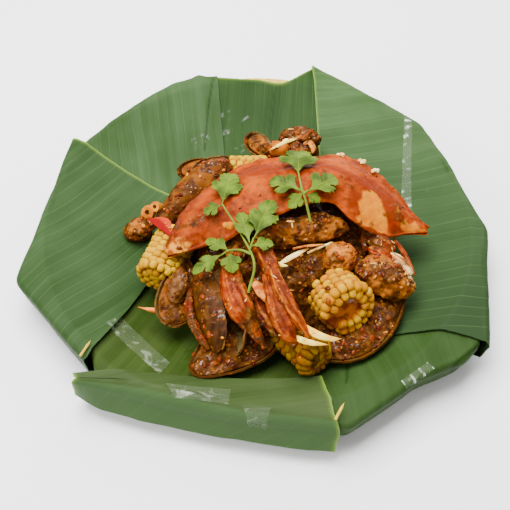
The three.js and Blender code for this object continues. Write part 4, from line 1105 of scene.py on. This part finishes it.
def valve(name, node, length, width, depth, start, end, roll, finishes, seed):
    """An open valve: the hollow looks along its own Z, the hinge is at its start."""
    u, v = shares_grid(46, 70)
    side = 2 * v - 1
    x, y, hollow = valve_plan(u, side, length, width / 2)
    top = spread(x, y + 0.06 * width * np.sin(math.pi * u), -depth * hollow)
    growth = np.sqrt(u**2 * 0.6 + side**2 * 0.4 * u + 1e-6)
    top[..., 2] += 0.16 * np.sin(growth * 70) + 0.45 * unevenness(top, 7, seed)
    top[..., 1] += 0.5 * unevenness(top, 9, seed + 1) * np.abs(side)
    corners, faces = sheet(laid(top, start, end, roll), VALVE_THICKNESS)
    kinds = np.repeat(range(3), [len(group) for group in faces])
    piece(name, corners, faces, finishes, "mussel_shell", node, face_finish=kinds, growth=growth)


def filling(name, node, length, width, depth, dome, start, end, roll, finish, slot, relief, seed):
    """What lies in a valve, domed and lumpy on top."""
    u, v = shares_grid(90, 60)
    x, y, hollow = valve_plan(u, 2 * v - 1, 0.96 * length, 0.97 * (width / 2 - VALVE_THICKNESS))
    y += 0.06 * width * np.sin(math.pi * u)
    top = spread(x, y, dome * hollow - 0.1 * depth + 0.3)
    top[..., 2] += bumps(top, relief, seed) * np.clip(hollow * 3, 0, 1)
    low = spread(x, y, -0.72 * depth * hollow - 0.1 * depth - 0.8)
    corners = laid(np.stack([top, low]), start, end, roll)
    piece(name, corners, sheet(top, 1)[1], [finish], slot, node, sharp=80)


dark_valve = valve_finishes("valve_dark", (112, 76, 28), (60, 38, 18), (100, 84, 50), 0.42)
worn_valve = valve_finishes("valve_worn", (112, 74, 30), (70, 42, 18), (100, 84, 50), 0.5, (92, 64, 34))
pale_valve = valve_finishes("valve_pale", (140, 100, 40), (96, 62, 24), (122, 112, 78), 0.4)
olive_valve = valve_finishes("valve_olive", (150, 98, 30), (100, 62, 20), (110, 84, 40), 0.5)
shell_sauce = sauced("shell_sauce", (112, 76, 34), 0.74, (84, 58, 28), 0.7)
lip_sauce = sauced("lip_sauce", (140, 86, 32), 0.55, (176, 116, 50), 0.6)
mussel_meat = sauced("mussel_meat", (112, 80, 52), 0.56, (150, 112, 74), 0.6)
back_meat = sauced("back_mussel_meat", (176, 112, 36), 0.4, (130, 76, 28), 0.5)
left_place = ((-52, -44, 35), (-61, -92, 26), -22)
left_half = ((-43, -130, 26), (11, -92, 23), -3)
right_half = ((103, -60, 31), (41, -117.5, 28), -4)
heavy, fine_lumps = ((8, 2.4), (3.5, 1.3), (1.8, 0.5)), ((5, 1.4), (2.2, 0.7))
valve("mussel_left_valve", "mussel_left_shell", 52, 30, 9, *left_place, pale_valve, 1)
filling("mussel_left_juice", "mussel_left_meat", 52, 30, 9, 0.5, *left_place, lip_sauce, "sauce",
        ((6, 1.2), (2.5, 0.6)), 2)
filling("mussel_left_flesh", "mussel_left_meat", 30, 19, 6, 5, (-54, -51, 37), (-58.5, -78, 32), -22,
        mussel_meat, "mussel_meat", ((6, 1.6), (2.4, 0.8)), 2)
valve("mussel_middle_valve_a", "mussel_middle_shell_a", 72, 28, 9, (-40, -47, 40),
      (-25, -119, 33), -128, dark_valve, 3)
valve("mussel_middle_valve_b", "mussel_middle_shell_b", 72, 28, 9, (-29, -50, 37),
      (-14, -118, 31), 58, pale_valve, 4)
valve("mussel_long_valve", "mussel_long_shell", 72, 30, 8, (-77, 0, 24), (-22, 42, 48), 215, olive_valve, 5)
valve("mussel_back_valve_a", "mussel_back_shell_a", 34, 22, 7, (-24, 66, 25),
      (-49, 53, 23), -20, pale_valve, 6)
valve("mussel_back_valve_b", "mussel_back_shell_b", 26, 17, 6, (-46, 72, 19),
      (-61, 58, 19), -15, olive_valve, 7)
valve("mussel_back_valve_c", "mussel_back_shell_c", 27, 23, 6, (8, 72, 24), (-3, 93, 30), 14, pale_valve, 8)
filling("mussel_back_flesh_a", None, 29, 18, 6, 4.5, (-26.5, 64.5, 25.5), (-47, 54, 23.5), -20, back_meat,
        "mussel_meat", fine_lumps, 6)
filling("mussel_back_flesh_b", None, 22, 14, 5, 3.5, (-47.5, 70.5, 19.5), (-59.5, 59.5, 19.5), -15, back_meat,
        "mussel_meat", fine_lumps, 7)
filling("mussel_back_flesh_c", None, 23, 20, 5, 1, (7, 74, 24.5), (-2, 91, 29.5), 14,
        body_finish, "sauce", fine_lumps, 8)
limb("mussel_middle_saucy_shell", None,
     [(-46, -66, 36), (-47.5, -84, 37), (-43, -101, 36), (-33, -117, 32)], [1.5, 3, 3.4, 2.4], 0.9,
     brown_finish, [(90, 14, 0.12)], 48, 90, relief=0.6, seed=21, slot="mussel_shell")
valve("half_shell_left_valve", "half_shell_left", 68, 42, 8, *left_half, worn_valve, 9)
filling("half_shell_left_filling", "half_shell_left_sauce", 68, 42, 8, 3, *left_half,
        shell_sauce, "sauce", heavy, 3)
valve("half_shell_right_valve", "half_shell_right", 85, 43, 8, *right_half, worn_valve, 10)
filling("half_shell_right_filling", "half_shell_right_sauce", 85, 43, 8, 4, *right_half,
        shell_sauce, "sauce", heavy, 5)

# ---------- Squid rings and chilli ----------
# Two small rings of fried squid and a wedge of red chilli with its seeds lie at the left, by the corn.
# A ring is a short golden tube, and the wedge a curved strip of thin flesh.
ring_x, ring_radius = np.array([
    (-4, 2.2), (-4.3, 3.8), (-4, 5.4), (-2, 5.8), (0, 5.9), (2, 5.7), (4, 5.2), (4.4, 3.6), (4, 2), (0, 2.3),
]).T[..., None]
turn = full_turn(48)
ring = spread(ring_x, ring_radius * np.cos(turn), ring_radius * np.sin(turn))
ring += 0.35 * unevenness(ring, 2.6, 2)[..., None] * np.sign(ring)
ring_quads = ring_faces(len(ring) + 1, len(turn)) % (len(ring) * len(turn))
fried = sauced("squid_fried", (212, 150, 24), 0.1, (180, 108, 24), 0.4)
for name, node, start, end, size in (
    ("squid_ring_fried", "squid_ring", (-84.6, 4.6, 32), (-82.4, 10.4, 26), 0.92),
    ("squid_ring_small", None, (-79, 7, 36), (-76, 11, 30), 0.74),
):
    piece(name, laid(ring * size, start, end), [ring_quads], [fried], "squid", node)


def chilli_colours(coated):
    """Deep red skin that turns to paler flesh on its inner side."""
    inner = (coated.reading("inner") + coated.noise(200, 3) * 0.4 - 0.2).step(0.4, 0.8)
    return inner.mix((150, 20, 22), (190, 84, 50))


u, v = shares_grid(50, 26)
wedge_width = 2.5 + 8.5 * np.sin(math.pi * u**0.75)
wedge = spread((u - 0.5) * 27, v * wedge_width - 3, 1.2 - 5 * (v - 0.25) ** 2 - 2 * (u - 0.5) ** 2)
wedge[..., 2] += 0.3 * unevenness(wedge, 3, 1)
wedge = laid(wedge, (-79, -11, 44), (-61, -30, 47), 8)
red_flesh = sauced("chilli_flesh", chilli_colours, 0.14, grain=0.2)
piece("chilli_left_wedge", *sheet(wedge, 1), [red_flesh], "chilli", "chilli_left", inner=v)
for k, middle in enumerate([(-66, -21.5, 47), (-64, -23.5, 47.3), (-67.5, -18.5, 46.5)]):
    lump(f"chilli_seed_{k}", None, middle, (1.2, 0.8, 0.5), tan_flake, ((1.5, 0.2),), k)

# ---------- Coriander ----------
# Two fresh sprigs are laid over the crab. Each has a thin stem that forks into lobed, toothed leaflets.
# The leaflets are soft and matt, curl a little at their edges, and have a pale vein to each lobe.
LEAFLET_THICKNESS = 0.4
HALF_LEAFLET = [
    (0, 0.015), (0.1, 0.04), (0.2, 0.1), (0.28, 0.19), (0.33, 0.3), (0.34, 0.4), (0.4, 0.38), (0.43, 0.48),
    (0.49, 0.43),
    (0.54, 0.5), (0.59, 0.42), (0.65, 0.43), (0.64, 0.33), (0.6, 0.24), (0.61, 0.19), (0.68, 0.24),
    (0.72, 0.33), (0.77, 0.27),
    (0.83, 0.31), (0.86, 0.22), (0.92, 0.22), (0.93, 0.13), (0.99, 0.1), (0.98, 0.03),
]
LEAFLET_VEINS = [
    [(0, 0), (0.98, 0)], [(0.14, 0), (0.12, 0.3)], [(0.16, 0), (0.33, 0.46)], [(0.16, 0), (0.2, 0.42)],
    [(0.3, 0.27), (0.44, 0.4)], [(0.45, 0), (0.62, 0.33)], [(0.55, 0), (0.76, 0.29)],
    [(0.7, 0), (0.89, 0.19)],
]


def leaflet(foot, tip, width, seed):
    """Corners and faces of one leaflet, and how near each corner lies to a vein."""
    length = math.dist(foot, tip)
    half = np.array(HALF_LEAFLET)
    outline = np.concatenate([half, half[::-1] * (1, -1)])
    outline[1:-1] += np.random.default_rng(seed).normal(0, 0.014, (len(outline) - 2, 2))
    outline = along_line(np.concatenate([outline, outline[:1]]), np.linspace(0, 1, 168, endpoint=False))
    outline = (np.roll(outline, 1, 0) + 2 * outline + np.roll(outline, -1, 0)) / 4
    middle = np.array([0.42, 0.0])
    reach = np.linspace(0.02, 1, 16)[:, None, None]
    flat = middle + (outline - middle) * reach
    plan = (flat - (0.5, 0)) * (length, width)
    vein = np.zeros(plan.shape[:2])
    for k, line in enumerate(LEAFLET_VEINS):
        strength, half_width = (0.7, 0.2) if k else (1, 0.28)
        for sign in (1, -1):
            run = (np.array(line) * (1, sign) - (0.5, 0)) * (length, width)
            vein = np.maximum(vein, strength * np.exp(-((away_from(plan, run) / half_width) ** 2)))
    across = np.abs(flat[..., 1]) * 2
    z = 0.35 + 0.16 * width * across * (1 - across) - 0.06 * length * (flat[..., 0] - 0.4) ** 2 * 4
    grid = spread(plan[..., 0], plan[..., 1], z)
    grid[..., 2] += 0.9 * unevenness(grid, 5, seed) * reach[..., 0] - 0.22 * vein
    rows, columns = vein.shape
    upper = ring_faces(rows, columns)
    outer = np.arange(vein.size - columns, vein.size)
    rim = np.stack([outer, outer + vein.size, np.roll(outer, -1) + vein.size, np.roll(outer, -1)], -1)
    caps = [np.arange(columns)[None], np.arange(vein.size, vein.size + columns)[None, ::-1]]
    corners = laid(np.stack([grid, grid - (0, 0, LEAFLET_THICKNESS)]).reshape(-1, 3), foot, tip)
    return corners, [upper[:, ::-1], upper + vein.size, rim, *caps], np.tile(vein.ravel(), 2)


def stalk(spine, seed):
    """Corners and faces of a thin tapering stem, all of it as pale as a vein."""
    shares = np.linspace(0, 1, 40)
    line = curve(spine, shares)
    line += 0.25 * np.stack([unevenness(line, 8, seed + k) for k in range(3)], -1)
    ahead = unit(np.gradient(line, axis=0))
    side = unit(np.cross(ahead, (0.3, 0.2, 1.0)))
    up = np.cross(side, ahead)
    turn = full_turn(10)[:, None]
    half = (1.05 - 0.45 * shares)[:, None, None]
    rings = line[:, None] + half * (side[:, None] * np.cos(turn) + up[:, None] * np.sin(turn))
    return rings.reshape(-1, 3), tube_faces(*rings.shape[:2]), np.ones(rings.size // 3)


def sprig(name, node, stems, leaflets, finish):
    parts = [stalk(spine, k) for k, spine in enumerate(stems)]
    parts += [leaflet(*shape, k) for k, shape in enumerate(leaflets)]
    faces, first = [], 0
    for own_corners, own_faces, _ in parts:
        faces += [group + first for group in own_faces]
        first += len(own_corners)
    corners, vein = (np.concatenate([part[k] for part in parts]) for k in (0, 2))
    piece(name, corners, faces, [finish], "coriander", node, sharp=60, vein=vein)


herb = Finish("coriander_green", Specular_IOR_Level=0.08)
herb_tone = herb.noise(95).step(0.34, 0.66).mix((80, 98, 38), (118, 138, 52))
herb.set(
    Base_Color=(herb.reading("vein") * 0.35).mix(herb_tone, (160, 172, 84)),
    Roughness=herb.noise(200, 2) * 0.25 + 0.4,
    Normal=(herb.reading("vein") * -1 + herb.noise(500, 3) * 0.6).bump(0.3, 0.0005),
)
sprig("coriander_left_sprig", "coriander_left",
      [[(-6.4, -86, 54), (-2.5, -70.5, 64), (-5.7, -59.8, 67), (-14.4, -41.7, 69.5), (-25.4, -21.9, 71.5)],
       [(-5.7, -59.8, 67), (-4.0, -56.5, 71), (-3.0, -53.4, 73)],
       [(-5.0, -61.9, 66), (-12.1, -57.9, 65), (-20.2, -57.8, 64), (-24.7, -59.9, 62)]],
      [[(-25.4, -21.9, 71.5), (-18.9, 10.7, 71), 24], [(-24.9, -21.9, 71), (-38.7, -26.1, 66.5), 13],
       [(-5.7, -57.0, 71.5), (-12.7, -28.4, 72.5), 15], [(-3.0, -53.9, 73), (9.7, -21.1, 77.5), 22],
       [(-4.0, -58.5, 71), (10.7, -55.2, 69), 13], [(-19.5, -57.9, 64), (-36.5, -45.6, 62), 13],
       [(-24.2, -59.0, 62), (-45.5, -69.8, 55), 14], [(-19.7, -57.3, 63), (-17.1, -72.0, 58), 16]], herb)
sprig("coriander_right_sprig", "coriander_right",
      [[(36.5, -35.7, 68), (32.2, -20.7, 78), (30.1, -13.0, 81.5), (28.6, -1.3, 82)],
       [(32.2, -19.2, 79.5), (35.2, -18.1, 81.5)], [(31.9, -18.2, 79.5), (29.1, -16.1, 81.5)]],
      [[(28.6, -2.3, 82), (29.7, 27.8, 77), 30], [(30.1, -17.6, 81.5), (8.2, -4.9, 79.5), 22],
       [(34.2, -19.1, 82), (55.7, -3.9, 81.5), 24], [(31.7, -18.2, 79.5), (21.5, -27.1, 73), 14],
       [(33.7, -19.2, 79.5), (43.4, -24.3, 76), 11]], herb)

# ---------- Garlic, chilli and flakes ----------
# Minced garlic, chopped chilli and grains of fried egg are stirred through the sauce and stick to everything.
# Splinters of broken shell and white crab meat stand out at the joints and along the shell's edges.
STREWN_LEFT, STREWN_RIGHT, STREWN_FRONT, STREWN_BACK = -108, 122, -135, 110
food_tree, food_owners = touchable([
    made for made in bpy.data.objects if made.type == "MESH" and made.name.endswith((
        "_lumps", "_shell", "_meat", "_blade", "_edge", "_kernels", "_valve", "_valve_a", "_valve_b",
        "_valve_c",
        "_filling", "_flesh", "_flake",
    ))
])
grain_ball = ball(6, 8).reshape(-1, 3)


def strewn(name, finish, slot, count, sizes, flat, bearers, seed, wide=(0.55, 0.9)):
    """Irregular grains stuck where a slanting line from above first meets one of the bearers."""
    pick = np.random.default_rng(seed)
    corners, tones, tries = [], [], 0
    while len(corners) < count and tries < count * 14:
        tries += 1
        spot = np.array([
            pick.uniform(STREWN_LEFT, STREWN_RIGHT), pick.uniform(STREWN_FRONT, STREWN_BACK), 60.0])
        slant = np.array([*pick.normal(0, 0.45, 2), -1.0])
        start = spot - slant * 60
        found, normal, face, _ = food_tree.ray_cast(Vector(start / 1000), Vector(slant).normalized())
        if found is None:
            continue
        share = next((chance for key, chance in bearers.items() if food_owners[face].startswith(key)), 0)
        here = np.array(found) * 1000
        if pick.random() > share * (0.35 + 1.3 * max(0, unevenness(here[None], 9, seed)[0] + 0.2)):
            continue
        size = sizes[0] + (sizes[1] - sizes[0]) * pick.random() ** 2
        half = size * np.array([1, pick.uniform(*wide), pick.uniform(*flat)]) / 2
        up = np.array(normal) if normal.z > -0.2 else -np.array(normal)
        side = unit(np.cross(up, pick.normal(size=3)))
        rough = unevenness(grain_ball + 3 * len(corners), 0.8, seed)[:, None]
        grain = grain_ball * (1 + 0.45 * rough) * half
        corners.append(grain @ np.array([side, np.cross(up, side), up]) + here + up * half[2] * 0.15)
        tones.append(np.full(len(grain), pick.random()))
    faces = [ring_faces(6, 8) + k * len(grain_ball) for k in range(len(corners))]
    piece(name, corners, faces, [finish], slot, sharp=60, shade=tones)


def grain_finish(name, dark, light):
    grain = Finish(name, Coat_Weight=0.15, Coat_Roughness=0.1, Specular_IOR_Level=0.05)
    body = (grain.reading("shade") * 0.8 + grain.noise(700, 2) * 0.4 - 0.1).step(0.1, 0.95).mix(dark, light)
    return grain.set(Base_Color=body, Roughness=grain.noise(900, 2) * 0.25 + 0.15)


saucy = {
    "sauce_heap": 1, "half_shell": 0.9, "body": 1, "mussel_left_flesh": 0.35, "mussel_long": 0.7,
    "mussel": 0.25,
    "back": 0.9, "left_chunk": 1, "corn": 0.04, "claw": 0.05, "leg": 0.2, "carapace": 0.012,
}
bony = {"body": 1, "back": 0.5, "left_chunk": 1, "leg": 1, "sauce_heap": 0.3, "claw": 0.1}
garlic = grain_finish("garlic", (160, 96, 34), (214, 150, 64))
chopped = grain_finish("chopped_chilli", (112, 50, 22), (160, 86, 34))
browned = grain_finish("browned_bits", (92, 42, 18), (156, 86, 30))
splinter = grain_finish("splinters", (190, 124, 60), (232, 196, 120))
strewn("garlic_grains", garlic, "sauce", 240, (1.2, 3.2), (0.35, 0.7), saucy, 21)
strewn("chilli_grains", chopped, "sauce", 260, (1.2, 4.0), (0.2, 0.45), saucy, 22)
strewn("browned_grains", browned, "sauce", 460, (1.6, 5.0), (0.3, 0.6), saucy, 23)
strewn("shell_splinters", splinter, "pale_shell", 110, (2.5, 6.5), (0.12, 0.25), bony, 24, (0.16, 0.4))
